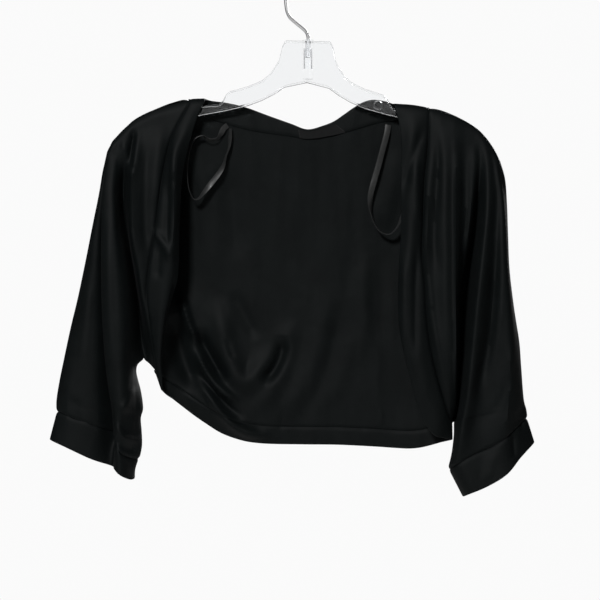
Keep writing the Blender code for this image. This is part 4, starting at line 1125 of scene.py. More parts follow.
def jersey_knit_group() -> Tree:
    """Height of a plain knit: upright wales of small stitches, a little uneven.

    Returns:
        The group.
    """
    tree, nodes, given, out = new_group(
        "jersey_knit", {"Place": (VECTOR, None), "Pitch": (VALUE, 0.00075)}, ("Height", "Unevenness"),
    )
    place, pitch = given.outputs["Place"], given.outputs["Pitch"]
    split = nodes.add("ShaderNodeSeparateXYZ", {0: place})
    drift = nodes.math("MULTIPLY", nodes.noise(place, 160.0, 1.0, "2D"), 1.4)
    wale = nodes.math("ADD", nodes.math("DIVIDE", split.outputs["X"], pitch), drift)
    course = nodes.math("MULTIPLY", nodes.math("DIVIDE", split.outputs["Y"], pitch), 1.25)
    stitch_side = nodes.math("PINGPONG", wale, 0.5)
    slope = nodes.math("MULTIPLY", stitch_side, 1.1)
    row = nodes.math("MULTIPLY", nodes.math("ADD", course, slope), FULL_TURN)
    loop = nodes.math("MULTIPLY_ADD", nodes.math("SINE", row), 0.22, 0.5)
    ridge = nodes.math("SINE", nodes.math("MULTIPLY", stitch_side, FULL_TURN))
    nodes.feed(out, {
        "Height": nodes.math("MULTIPLY", ridge, loop), "Unevenness": nodes.noise(place, 34.0, 4.0, "2D"),
    })
    return tree


def satin_weave_group() -> Tree:
    """Height of a satin weave: long floats across the ribbon with fine breaks.

    Returns:
        The group.
    """
    tree, nodes, given, out = new_group(
        "satin_weave", {"Place": (VECTOR, None), "Pitch": (VALUE, 0.0005)}, ("Height", "Unevenness"),
    )
    place, pitch = given.outputs["Place"], given.outputs["Pitch"]
    split = nodes.add("ShaderNodeSeparateXYZ", {0: place})
    across = nodes.math("DIVIDE", split.outputs["X"], pitch)
    along = nodes.math("DIVIDE", split.outputs["Y"], pitch)
    thread = nodes.math("SINE", nodes.math("MULTIPLY", along, FULL_TURN))
    step = nodes.math("MULTIPLY", nodes.math("FLOOR", along), 0.4)
    stagger = nodes.math("ADD", nodes.math("MULTIPLY", across, 0.2), step)
    tie = nodes.math("SINE", nodes.math("MULTIPLY", stagger, FULL_TURN))
    held = nodes.math("MULTIPLY", nodes.math("GREATER_THAN", tie, 0.93), 0.4)
    nodes.feed(out, {
        "Height": nodes.math("SUBTRACT", nodes.math("MULTIPLY_ADD", thread, 0.35, 0.5), held),
        "Unevenness": nodes.noise(place, 260.0, dimensions="2D"),
    })
    return tree


def lint_group() -> Tree:
    """A mask of sparse lint: short specks and hairs that cling to dark cloth.

    Returns:
        The group.
    """
    tree, nodes, given, out = new_group(
        "clinging_lint", {"Place": (VECTOR, None), "Density": (VALUE, 0.5)}, ("Mask",),
    )
    place = given.outputs["Place"]
    stretch = nodes.stretched(place, (900.0, 260.0, 900.0), (0.3, 0.9, 0.5))
    specks = nodes.add("ShaderNodeTexVoronoi", {"Vector": stretch, "Scale": 1.0})
    patch = nodes.math("MULTIPLY", nodes.noise(place, 22.0), given.outputs["Density"])
    limit = nodes.math("MULTIPLY", patch, 0.16)
    nodes.feed(out, {"Mask": nodes.math("LESS_THAN", specks.outputs["Distance"], limit)})
    return tree


def handling_wear_group() -> Tree:
    """Roughness and height of fine scratches and finger marks on plastic and plated wire.

    Returns:
        The group.
    """
    tree, nodes, given, out = new_group(
        "handling_wear", {"Place": (VECTOR, None), "Roughness": (VALUE, 0.05), "Spread": (VALUE, 0.05)},
        ("Roughness", "Height"),
    )
    place = given.outputs["Place"]
    scratches = nodes.noise(nodes.stretched(place, (40.0, 700.0, 900.0), (0.0, 0.35, 0.2)), 1.0, 3.0)
    both = nodes.math("MULTIPLY", scratches, nodes.noise(place, 60.0, 3.0))
    rough = nodes.math("MULTIPLY_ADD", both, given.outputs["Spread"], given.outputs["Roughness"])
    nodes.feed(out, {"Roughness": rough, "Height": scratches})
    return tree


class Finishes:
    """The materials, each made once from a frozen finish and the shared node groups."""

    def __init__(self) -> None:
        """Makes the groups and the materials."""
        knit, satin = jersey_knit_group(), satin_weave_group()
        self.lint = lint_group()
        self.wear = handling_wear_group()
        self.jersey = self.cloth("black_jersey", JERSEY, knit, 0.5)
        self.ribbon = self.cloth("black_satin", SATIN, satin, 0.15)
        self.label = self.cloth("dark_woven_label", LABEL, satin, 0.2)
        self.thread = self.cloth("sewing_thread", SATIN, satin, 0.0)
        self.plastic = self.hard("clear_plastic", PLASTIC)
        self.wire = self.hard("plated_steel", WIRE)

    def cloth(self, name: str, finish: ClothFinish, weave: Tree, density: float) -> Material:
        """A cloth material: colour from its unevenness and lint, relief from its weave.

        Args:
            name: Name of the material.
            finish: Its colours and surface.
            weave: The node group that gives the height of its threads.
            density: Density of the lint.

        Returns:
            The material.
        """
        material, nodes, shader = new_material(name)
        place = nodes.add("ShaderNodeUVMap", uv_map=CLOTH_PLACE).outputs[0]
        pitch = finish.pitch_mm * MM
        threads = nodes.add("ShaderNodeGroup", {"Place": place, "Pitch": pitch}, node_tree=weave)
        where = nodes.add("ShaderNodeTexCoord").outputs["Object"]
        spots = nodes.add("ShaderNodeGroup", {"Place": where, "Density": density}, node_tree=self.lint)
        fade = nodes.add("ShaderNodeMix", {
            "Factor": threads.outputs["Unevenness"], "A": opaque(finish.colour), "B": opaque(finish.faded),
        }, data_type="RGBA")
        dusted = nodes.add("ShaderNodeMix", {
            "Factor": spots.outputs["Mask"], "A": fade.outputs["Result"], "B": opaque(finish.lint()),
        }, data_type="RGBA")
        nodes.feed(shader, {
            "Base Color": dusted.outputs["Result"], "Normal": self.relief(nodes, finish, threads),
            "Roughness": finish.roughness, "Specular IOR Level": finish.specular,
            "Sheen Weight": finish.sheen, "Sheen Roughness": finish.sheen_roughness,
            "Sheen Tint": finish.sheen_tint,
        })
        return material

    def hard(self, name: str, finish: HardFinish) -> Material:
        """A plastic or metal material with handling marks in its roughness.

        Args:
            name: Name of the material.
            finish: Its colour and surface.

        Returns:
            The material.
        """
        material, nodes, shader = new_material(name)
        where = nodes.add("ShaderNodeTexCoord").outputs["Object"]
        marks = {"Place": where, "Roughness": finish.roughness, "Spread": finish.handling}
        wear = nodes.add("ShaderNodeGroup", marks, node_tree=self.wear)
        nodes.feed(shader, {
            "Base Color": opaque(finish.colour), "Roughness": wear.outputs["Roughness"],
            "Normal": self.relief(nodes, finish, wear), "Metallic": finish.metallic,
            "Transmission Weight": finish.transmission, "IOR": finish.ior,
        })
        return material

    @staticmethod
    def relief(nodes: Nodes, finish: Union[ClothFinish, HardFinish], source: Node) -> Socket:
        """The bumped normal from a group's Height, with the finish's own relief."""
        inputs = {"Distance": finish.relief_mm * MM, "Strength": finish.relief_strength}
        return nodes.add("ShaderNodeBump", {**inputs, "Height": source.outputs["Height"]}).outputs[0]


def settle(obj: Piece, material: Material, slot: str, *nodes: str) -> Piece:
    """Gives a piece its material, rides it on the body and puts it in place of CAD nodes.

    Args:
        obj: The piece.
        material: Its material.
        slot: A material slot name; not used.
        nodes: The CAD nodes that it replaces, if any.

    Returns:
        The same piece.
    """
    obj.data.materials.clear()
    obj.data.materials.append(material)
    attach(obj, ROOT)
    if nodes:
        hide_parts(*nodes)
    LOG.info("%s: %d faces, for %s", obj.name, len(obj.data.polygons), ", ".join(nodes) or "detail")
    return obj


@dataclass
class Jersey:
    """The panels: both fronts with their sleeve fronts, and the back with its sleeve backs."""

    thickness: float = 0.9
    spacing: float = 2.1
    rows_above: int = 150
    rows_below: int = 46
    groove: Groove = Groove(1.3)
    relax_passes: int = 8
    slit_down: float = 280.0

    def above(self, rows: Table, below: Table, before: Optional[Points] = None) -> Points:
        """Points of a line above the underarm, which runs on into the rows below it."""
        after = world(below)[1] if below else None
        return spline(world(rows), self.rows_above, SHOULDER_ROWS, before=before, after=after)

    def front_line(self, line: Guide) -> Points:
        """A front's fold line from the top of the shoulder."""
        front, back = (shoulder_rows(line.upper[0][0], facing) for facing in (-1, 1))
        return self.above(front + line.upper[1:], line.lower, world(back)[1])

    def back_line(self, line: Guide) -> Points:
        """A line of the back from the shoulder, or from the neck band's seam.

        Args:
            line: The line.

        Returns:
            Its points above the underarm.
        """
        across = line.upper[0][0]
        lower = self.to_hem(line) if line in BACK_BODY else line.lower
        if NECK_SEAM[0][0] < across < NECK_SEAM[-1][0]:
            return self.above(((across, *height_at(fine(NECK_SEAM), across)),) + line.upper[1:], lower)
        before = world(shoulder_rows(across, -1))[1]
        return self.above(shoulder_rows(across, 1) + line.upper[1:], lower, before)

    def below(self, line: Guide) -> Points:
        """Points of a line below the underarm, which comes from the rows above it."""
        return spline(world(line.lower), self.rows_below, before=world(line.upper)[-2])

    def hanging(self, lines: Sequence[Guide], counts: Sequence[int], before: Optional[Guide],
                after: Optional[Guide]) -> Points:
        """The grid below the underarm.

        Args:
            lines: The lines that it runs through.
            counts: How many columns each gap between two of them gets.
            before: The line that the cloth comes from, if it goes on beyond the first.
            after: The line that it goes on to beyond the last.

        Returns:
            Rows, columns and coordinates.
        """
        ghosts = [None if line is None else self.below(line) for line in (before, after)]
        return through([self.below(line) for line in lines], counts, *ghosts)

    def build_front(self, name: str, guides: Sequence[Guide], outer: Guide, inner: Table, body: int,
                    back_turn: Guide, back_inner: Guide, folds: Sequence[Fold]) -> Tuple[Piece, Points]:
        """One front, cut in one with its sleeve's front and slit below the arm.

        Args:
            name: Name of the CAD node that it replaces.
            guides: Its fold lines.
            outer: The sleeve's outer edge.
            inner: The underarm seam.
            body: How many of the lines belong to the body.
            back_turn: The back's line beside the outer edge, which the cloth curves on to.
            back_inner: The back's line beside the underarm seam.
            folds: The folds of this side.

        Returns:
            The object, and the sleeve's foot as a row of points.
        """
        lines = [self.front_line(line) for line in guides] + [self.above(outer.upper, outer.lower)]
        counts = column_counts(lines, self.spacing)
        upper = through(lines, counts, after=self.back_line(back_turn))
        underarm = Guide("underarm", guides[body - 1].upper, inner)
        lower = self.hanging([underarm, *guides[body:], outer], counts[body - 1:], back_inner, back_turn)
        slit = sum(counts[:body - 1])
        upper, (lower,) = relaxed_together(upper, ((slit, lower),), self.relax_passes)
        upper = seamed(upper, Edge.START, Facing.CAMERA, self.groove, folds)
        lower = seamed(lower, Edge.FOOT, Facing.CAMERA, self.groove, folds)
        slit = upper.shape[1] - lower.shape[1]
        lower[0] = upper[-1, slit:]
        surface = Surface(Facing.CAMERA.way)
        index = surface.add(upper)
        surface.add(lower, first=index[-1, slit:], origin=(slit * self.spacing, self.slit_down))
        return surface.wall(name + "_cloth", self.thickness), lower[-1]

    def build_back(self) -> Tuple[Piece, Dict[str, Points]]:
        """The back with both sleeve backs, slit below each arm.

        Returns:
            The object, and the foot of each part as a row of points.
        """
        left, right = [OUTER_LEFT, *BACK_SLEEVE_LEFT], [*BACK_SLEEVE_RIGHT, OUTER_RIGHT]
        arm_left = Guide("underarm", BACK_UNDERARM_LEFT, INNER_LEFT)
        arm_right = Guide("underarm", BACK_UNDERARM_RIGHT, INNER_RIGHT)
        body = [
            Guide("side_seam", BACK_UNDERARM_LEFT, SIDE_SEAM_LEFT),
            *(Guide(line.name, line.upper, self.to_hem(line)) for line in BACK_BODY),
            Guide("side_seam", BACK_UNDERARM_RIGHT, SIDE_SEAM_RIGHT),
        ]
        lines = [
            self.above(line.upper, line.lower) if line in (OUTER_LEFT, OUTER_RIGHT) else self.back_line(line)
            for line in (*left, arm_left, *BACK_BODY, arm_right, *right)
        ]
        counts = column_counts(lines, self.spacing)
        beyond = [self.front_line(front[-1]) for front in (FRONT_LEFT, FRONT_RIGHT)]
        upper = through(lines, counts, *beyond)
        columns = running(np.array(counts))
        slit_left, slit_right = columns[len(left)], columns[len(left) + len(BACK_BODY) + 1]
        inner_left, inner_right = FRONT_LEFT[BODY_LINES_LEFT], FRONT_RIGHT[BODY_LINES_RIGHT]
        parts = (
            ("left", 0, slit_left, [*left, arm_left], FRONT_LEFT[-1], inner_left),
            ("body", slit_left, slit_right, body, None, None),
            ("right", slit_right, columns[-1], [arm_right, *right], inner_right, FRONT_RIGHT[-1]),
        )
        lowers = [
            self.hanging(across, counts[slice(*np.searchsorted(columns, (start, end)))], before, after)
            for _, start, end, across, before, after in parts
        ]
        neck = (upper[0, :, 0] > NECK_SEAM[0][0]) & (upper[0, :, 0] < NECK_SEAM[-1][0])
        upper[0, neck] = on_seam(upper[0, neck], NECK_SEAM)
        lowers[1][-1] = on_seam(lowers[1][-1], HEM_SEAM)
        starts = [part[1] for part in parts]
        upper, lowers = relaxed_together(upper, list(zip(starts, lowers)), self.relax_passes)
        upper = draped(refined(upper, Edge.TOP, self.groove.steps), BACK_FOLDS)
        surface = Surface(Facing.AWAY.way)
        index = surface.add(upper)
        feet = {}
        for (name, start, end, *_), lower in zip(parts, lowers):
            facing = Facing.CAMERA if name == "body" else Facing.AWAY
            lower = seamed(lower, Edge.FOOT, facing, self.groove, BACK_FOLDS)
            lower[0] = upper[-1, start:end + 1]
            surface.add(lower, first=index[-1, start:end + 1], origin=(start * self.spacing, self.slit_down))
            feet[name] = lower[-1]
        return surface.wall("back_with_sleeves_cloth", self.thickness), feet

    @staticmethod
    def to_hem(line: Guide) -> Table:
        """Rows of a body line below the underarm, down to the hem band's seam."""
        across = line.lower[-1][0]
        return line.lower[:-1] + ((across, *height_at(fine(HEM_SEAM), across)),)


def folded_double(grid: Points, gap: float, pinch: float, closed: bool = False) -> Points:
    """Both layers of a strip folded along its free edge.

    Args:
        grid: The strip's middle: rows run along it, and columns go from the free edge to its seam.
        gap: Distance between the middles of its two layers.
        pinch: Distance from the seam over which the layers come together.
        closed: Whether the strip is a ring.

    Returns:
        A grid that runs from the seam on one face round the free edge to the seam on the other.
    """
    normals = grid_normals(grid, closed)
    to_seam = travelled(grid.swapaxes(0, 1)[::-1])[::-1].swapaxes(0, 1)
    half = (gap / 2 * (1.0 - SEAM_PINCH * np.exp(-((to_seam / pinch) ** 2))))[..., None]
    face, rear = grid + normals * half, grid - normals * half
    outwards = unit(grid[:, :1] - grid[:, 1:2])
    turn = [
        grid[:, :1] + half[:, :1] * (normals[:, :1] * math.cos(angle) + outwards * math.sin(angle))
        for angle in np.linspace(0.0, math.pi, EDGE_TURNS)[1:-1]
    ]
    return np.concatenate([face[:, ::-1], *turn, rear], axis=1)


@dataclass
class Bands:
    """Folded double bands of the same jersey: round the neck and fronts, along the hem and at the cuffs."""

    thickness: float = 0.75
    gap: float = 1.5
    pinch: float = 3.0
    spacing: float = 2.0
    neck_rows: int = 150
    hem_rows: int = 190
    cuff_points: int = 600
    groove: Groove = Groove(0.9)

    def strip(self, name: str, grid: Points, folds: Sequence[Fold], hint: Points,
              closed: bool = False) -> Piece:
        """A band from its middle surface, with a groove beside its seam on the side of the camera.

        Args:
            name: Name of the CAD node that it replaces.
            grid: Rows along the band, columns from its free edge to its seam.
            folds: Folds that cross it.
            hint: A vector that the band's first face points along.
            closed: Whether it is a ring.

        Returns:
            The object.
        """
        grid = seamed(grid, Edge.END, Facing.CAMERA, self.groove, folds)
        layers = folded_double(grid, self.gap, self.pinch, closed)
        if sense(grid, hint) < 0:
            layers = layers[:, ::-1]
        surface = Surface(np.zeros(3))
        surface.add(layers, closed=closed)
        obj = surface.wall(name + "_cloth", self.thickness)
        right_way_out(obj)
        return obj

    def between(self, lines: Sequence[Points]) -> Points:
        """The middle surface across lines that run along the band."""
        return through(lines, column_counts(lines, self.spacing))

    def build_front_band(self, name: str, edges: Sequence[Table], seam_line: Points,
                         folds: Sequence[Fold]) -> Piece:
        """The band along one front, which shares its last line with the panel.

        Args:
            name: Name of the CAD node that it replaces.
            edges: Its lines from the free edge inwards.
            seam_line: The panel's first line.
            folds: Folds that cross it.

        Returns:
            The object.
        """
        lines = []
        for edge in edges:
            over = world(edge)[1] * np.array((1.0, -1.0, 1.0))
            lines.append(spline(world(edge), len(seam_line), SHOULDER_ROWS, before=over))
        return self.strip(name, self.between(lines + [seam_line]), folds, Facing.CAMERA.way)

    def build_neck(self) -> Piece:
        """The band round the back of the neck, seen from its inside."""
        lines = [spline(world(edge), self.neck_rows) for edge in (NECK_FREE_EDGE, NECK_SEAM)]
        return self.strip("neck_band", self.between(lines), (), Facing.AWAY.way)

    def build_hem(self) -> Piece:
        """The band along the back's hem."""
        lines = [spline(world(edge), self.hem_rows) for edge in (HEM_FREE_EDGE, HEM_SEAM)]
        return self.strip("hem_band", self.between(lines), BACK_FOLDS, Facing.AWAY.way)

    def build_cuff(self, name: str, front_foot: Points, back_foot: Points, hem: Table,
                   folds: Sequence[Fold]) -> Piece:
        """A cuff from the sleeve's foot to its own folded hem.

        Args:
            name: Name of the CAD node that it replaces.
            front_foot: Foot of the sleeve's front, from the underarm to the outer edge.
            back_foot: Foot of the sleeve's back, from the underarm to the outer edge.
            hem: Section of the cuff at its hem, from the outer edge round the front.
            folds: Folds that cross it.

        Returns:
            The object.
        """
        seam = np.vstack([front_foot[::-1], back_foot[1:-1]])
        ring = np.vstack([seam, seam[:1]])
        outline = world(hem)
        around = np.vstack([outline, outline[:1]])
        closed = spline(around, self.cuff_points, before=outline[-1], after=outline[1])
        share = travelled(ring)[:-1] / travelled(ring)[-1]
        edge = placed(closed, share * travelled(closed)[-1])
        rows = max(4, round(float(length(edge - seam).mean()) / self.spacing))
        shares = np.linspace(1.0, 0.0, rows + 1)[None, :, None]
        grid = seam[:, None] * (1 - shares) + edge[:, None] * shares
        outwards = grid - grid.mean(axis=(0, 1))
        outwards[..., 2] = 0.0
        return self.strip(name, grid, folds, outwards_hint(grid, outwards), closed=True)


def outwards_hint(grid: Points, outwards: Points) -> Points:
    """The mean way in which a ring's own normals point, for telling its faces apart."""
    return (grid_normals(grid, True) * sense(grid, outwards)).mean(axis=(0, 1))


def right_way_out(obj: Piece) -> Piece:
    """Turns every face of a closed mesh outwards.

    Args:
        obj: The mesh object.

    Returns:
        The same object.
    """
    bm = bmesh.new()
    bm.from_mesh(obj.data)
    bmesh.ops.recalc_face_normals(bm, faces=bm.faces[:])
    bm.to_mesh(obj.data)
    bm.free()
    return obj


@dataclass(frozen=True)
class Cut:
    """The flat size that a piece of cloth is cut to, in metres, and the share of that rectangle it fills."""

    width: float
    length: float
    share: float = 1.0

    def declare(self, obj: Piece, *rests_on: str) -> None:
        """Logs the area of one side of a piece of cloth beside the area that its cut fills.

        Args:
            obj: The piece.
            rests_on: Names of what it hangs from; not used.
        """
        area = sum(face.area for face in obj.data.polygons) / 2
        LOG.info("%s: one side %.4f m2, cut %.4f m2", obj.name, area, self.share * self.width * self.length)


BACK_CUT = Cut(0.60, 0.46, 0.72)
FRONT_CUT = Cut(0.22, 0.42, 0.72)
NECK_BAND_CUT = Cut(0.28, 0.042)
FRONT_BAND_CUT = Cut(0.34, 0.075)
HEM_BAND_CUT = Cut(0.36, 0.045)
CUFF_CUT = Cut(0.19, 0.084)
LABEL_CUT = Cut(0.05, 0.013, 0.75)


@dataclass
class Bolero:
    """The whole garment: three panels, the folded bands, two cuffs, the label and two satin loops."""

    finishes: Finishes
    jersey: Jersey
    bands: Bands

    def build(self) -> None:
        """Builds the pieces in the order in which a maker would join them."""
        back, back_feet = self.jersey.build_back()
        left, left_foot = self.jersey.build_front(
            "front_left_with_sleeve", FRONT_LEFT, OUTER_LEFT, INNER_LEFT, BODY_LINES_LEFT,
            BACK_SLEEVE_LEFT[0], BACK_SLEEVE_LEFT[-1], LEFT_FOLDS,
        )
        right, right_foot = self.jersey.build_front(
            "front_right_with_sleeve", FRONT_RIGHT, OUTER_RIGHT, INNER_RIGHT, BODY_LINES_RIGHT,
            BACK_SLEEVE_RIGHT[-1], BACK_SLEEVE_RIGHT[0], RIGHT_FOLDS,
        )
        self.dress(back, "back_with_sleeves", BACK_CUT, "hanger_body")
        self.dress(left, "front_left_with_sleeve", FRONT_CUT, "hanger_body")
        self.dress(right, "front_right_with_sleeve", FRONT_CUT, "hanger_body")
        self.build_bands()
        for side, foot, back_foot, hem, folds in (
            (Side.LEFT, left_foot, back_feet["left"][::-1], CUFF_LEFT_HEM, LEFT_FOLDS),
            (Side.RIGHT, right_foot, back_feet["right"], CUFF_RIGHT_HEM, RIGHT_FOLDS),
        ):
            cuff = self.bands.build_cuff("cuff_" + side.value, foot, back_foot, hem, folds)
            self.dress(cuff, "cuff_" + side.value, CUFF_CUT, f"front_{side.value}_with_sleeve_cloth")
        Label(self.finishes).build()
        Loop(self.finishes, Side.LEFT, LOOP_LEFT, TWIST_LEFT).build()
        Loop(self.finishes, Side.RIGHT, LOOP_RIGHT, TWIST_RIGHT).build()

    def build_bands(self) -> None:
        """The folded bands of the fronts, the neck and the hem."""
        for side, guides, edges, folds in (
            (Side.LEFT, FRONT_LEFT, BAND_LEFT, LEFT_FOLDS),
            (Side.RIGHT, FRONT_RIGHT, BAND_RIGHT, RIGHT_FOLDS),
        ):
            name, seam = "front_band_" + side.value, self.jersey.front_line(guides[0])
            band = self.bands.build_front_band(name, edges, seam, folds)
            self.dress(band, name, FRONT_BAND_CUT, f"front_{side.value}_with_sleeve_cloth")
        self.dress(self.bands.build_neck(), "neck_band", NECK_BAND_CUT, "back_with_sleeves_cloth")
        self.dress(self.bands.build_hem(), "hem_band", HEM_BAND_CUT, "back_with_sleeves_cloth")

    def dress(self, obj: Piece, node: str, cut: Cut, *rests_on: str) -> None:
        """Gives a piece of jersey its cloth and its node, and logs its area beside its flat size."""
        settle(obj, self.finishes.jersey, "black_jersey", node)
        cut.declare(obj, *rests_on)


@dataclass
class Label:
    """The bare woven label inside the neck, with a row of stitches along each end."""

    finishes: Finishes
    along: Pair = (0.478, 0.66)
    across: Pair = (0.15, 0.95)
    forward: float = 1.75
    thickness: float = 0.3
    samples: int = 400
    rows: int = 60
    columns: int = 16
    stitch_length: float = 2.2
    stitch_pitch: float = 1.35
    stitch_radius: float = 0.16
    stitch_inset: float = 1.4
    stitch_lift: float = 0.6
    stitch_points: int = 5
    stitch_sides: int = 6

    def build(self) -> None:
        """Builds the label and its stitches."""
        shares = np.linspace(*self.along, self.rows)
        top, bottom = (
            placed(line, shares * travelled(line)[-1])
            for line in (spline(world(edge), self.samples) for edge in (NECK_FREE_EDGE, NECK_SEAM))
        )
        cross = np.linspace(*self.across, self.columns)[None, :, None]
        grid = top[:, None] * (1 - cross) + bottom[:, None] * cross
        grid[..., 1] -= self.forward
        surface = Surface(Facing.CAMERA.way)
        surface.add(grid)
        label = surface.wall("neck_label_cloth", self.thickness)
        settle(label, self.finishes.label, "dark_woven_label", "neck_label")
        LABEL_CUT.declare(label, "neck_band_cloth")
        self.build_stitches(grid)

    def build_stitches(self, grid: Points) -> None:
        """Rows of small stitches along both ends of the label.

        Args:
            grid: The label's middle surface.
        """
        tubes = Tubes()
        pitch = self.stitch_length * self.stitch_pitch
        for row in (grid[1], grid[-2]):
            for start in np.arange(self.stitch_inset, travelled(row)[-1] - self.stitch_length, pitch):
                line = placed(row, np.linspace(start, start + self.stitch_length, self.stitch_points))
                line[1:-1, 1] -= self.thickness / 2 + self.stitch_radius * self.stitch_lift
                tubes.add(line, self.stitch_radius, self.stitch_sides)
        settle(tubes.make("neck_label_stitches"), self.finishes.thread, "dark_woven_label")


class Tubes:
    """Round tubes along lines, gathered in one mesh."""

    def __init__(self) -> None:
        """Starts without a tube."""
        self.points: List[Points] = []
        self.faces: List[List[int]] = []
        self.count = 0

    def add(self, line: Points, radii: object, sides: int) -> None:
        """Adds a tube with flat ends.

        Args:
            line: Points of its middle, in millimetres; it never runs straight away from the camera.
            radii: One radius, or one for each point.
            sides: How many sides it has.
        """
        radii = np.broadcast_to(np.asarray(radii, float), (len(line),))
        along = unit(np.gradient(line, axis=0))
        side = unit(np.cross(along, Facing.AWAY.way))
        other = np.cross(side, along)
        rings = [
            line + radii[:, None] * (side * math.cos(angle) + other * math.sin(angle))
            for angle in np.linspace(0.0, FULL_TURN, sides, endpoint=False)
        ]
        self.points.append(np.stack(rings, axis=1).reshape(-1, 3))
        self.faces += ring_faces(len(line), sides, self.count)
        self.count += len(line) * sides

    def make(self, name: str, sharp: float = 50.0) -> Piece:
        """The mesh object, with its faces turned out."""
        return right_way_out(mesh_object(name, np.vstack(self.points), self.faces, sharp=sharp))


@dataclass
class Loop:
    """One satin hanger loop: a flat ribbon sewn down at both ends, hanging in a loose curl."""

    finishes: Finishes
    side: Side
    route: Table
    twist: Table
    width: float = 6.0
    thickness: float = 0.35
    rows: int = 170
    columns: int = 8
    cup: float = 0.35

    def build(self) -> None:
        """Builds the ribbon on its route."""
        line = spline(world(self.route), self.rows)
        shares = np.linspace(0.0, 1.0, self.rows)
        table = np.array(self.twist)
        angles = np.radians(np.interp(shares, table[:, 0], table[:, 1]))[:, None]
        along = unit(np.gradient(line, axis=0))
        flat_side = unit(np.cross(along, Facing.AWAY.way))
        facing = np.cross(flat_side, along)
        side = flat_side * np.cos(angles) + facing * np.sin(angles)
        normal = np.cross(side, along)
        grid = np.stack([
            line + side * place * self.width / 2 + normal * self.cup * (place * place - 0.5)
            for place in np.linspace(-1.0, 1.0, self.columns + 1)
        ], axis=1)
        surface = Surface(Facing.CAMERA.way)
        surface.add(grid)
        node = "hanger_loop_" + self.side.value
        ribbon = surface.wall(node + "_ribbon", self.thickness)
        settle(ribbon, self.finishes.ribbon, "black_satin", node)


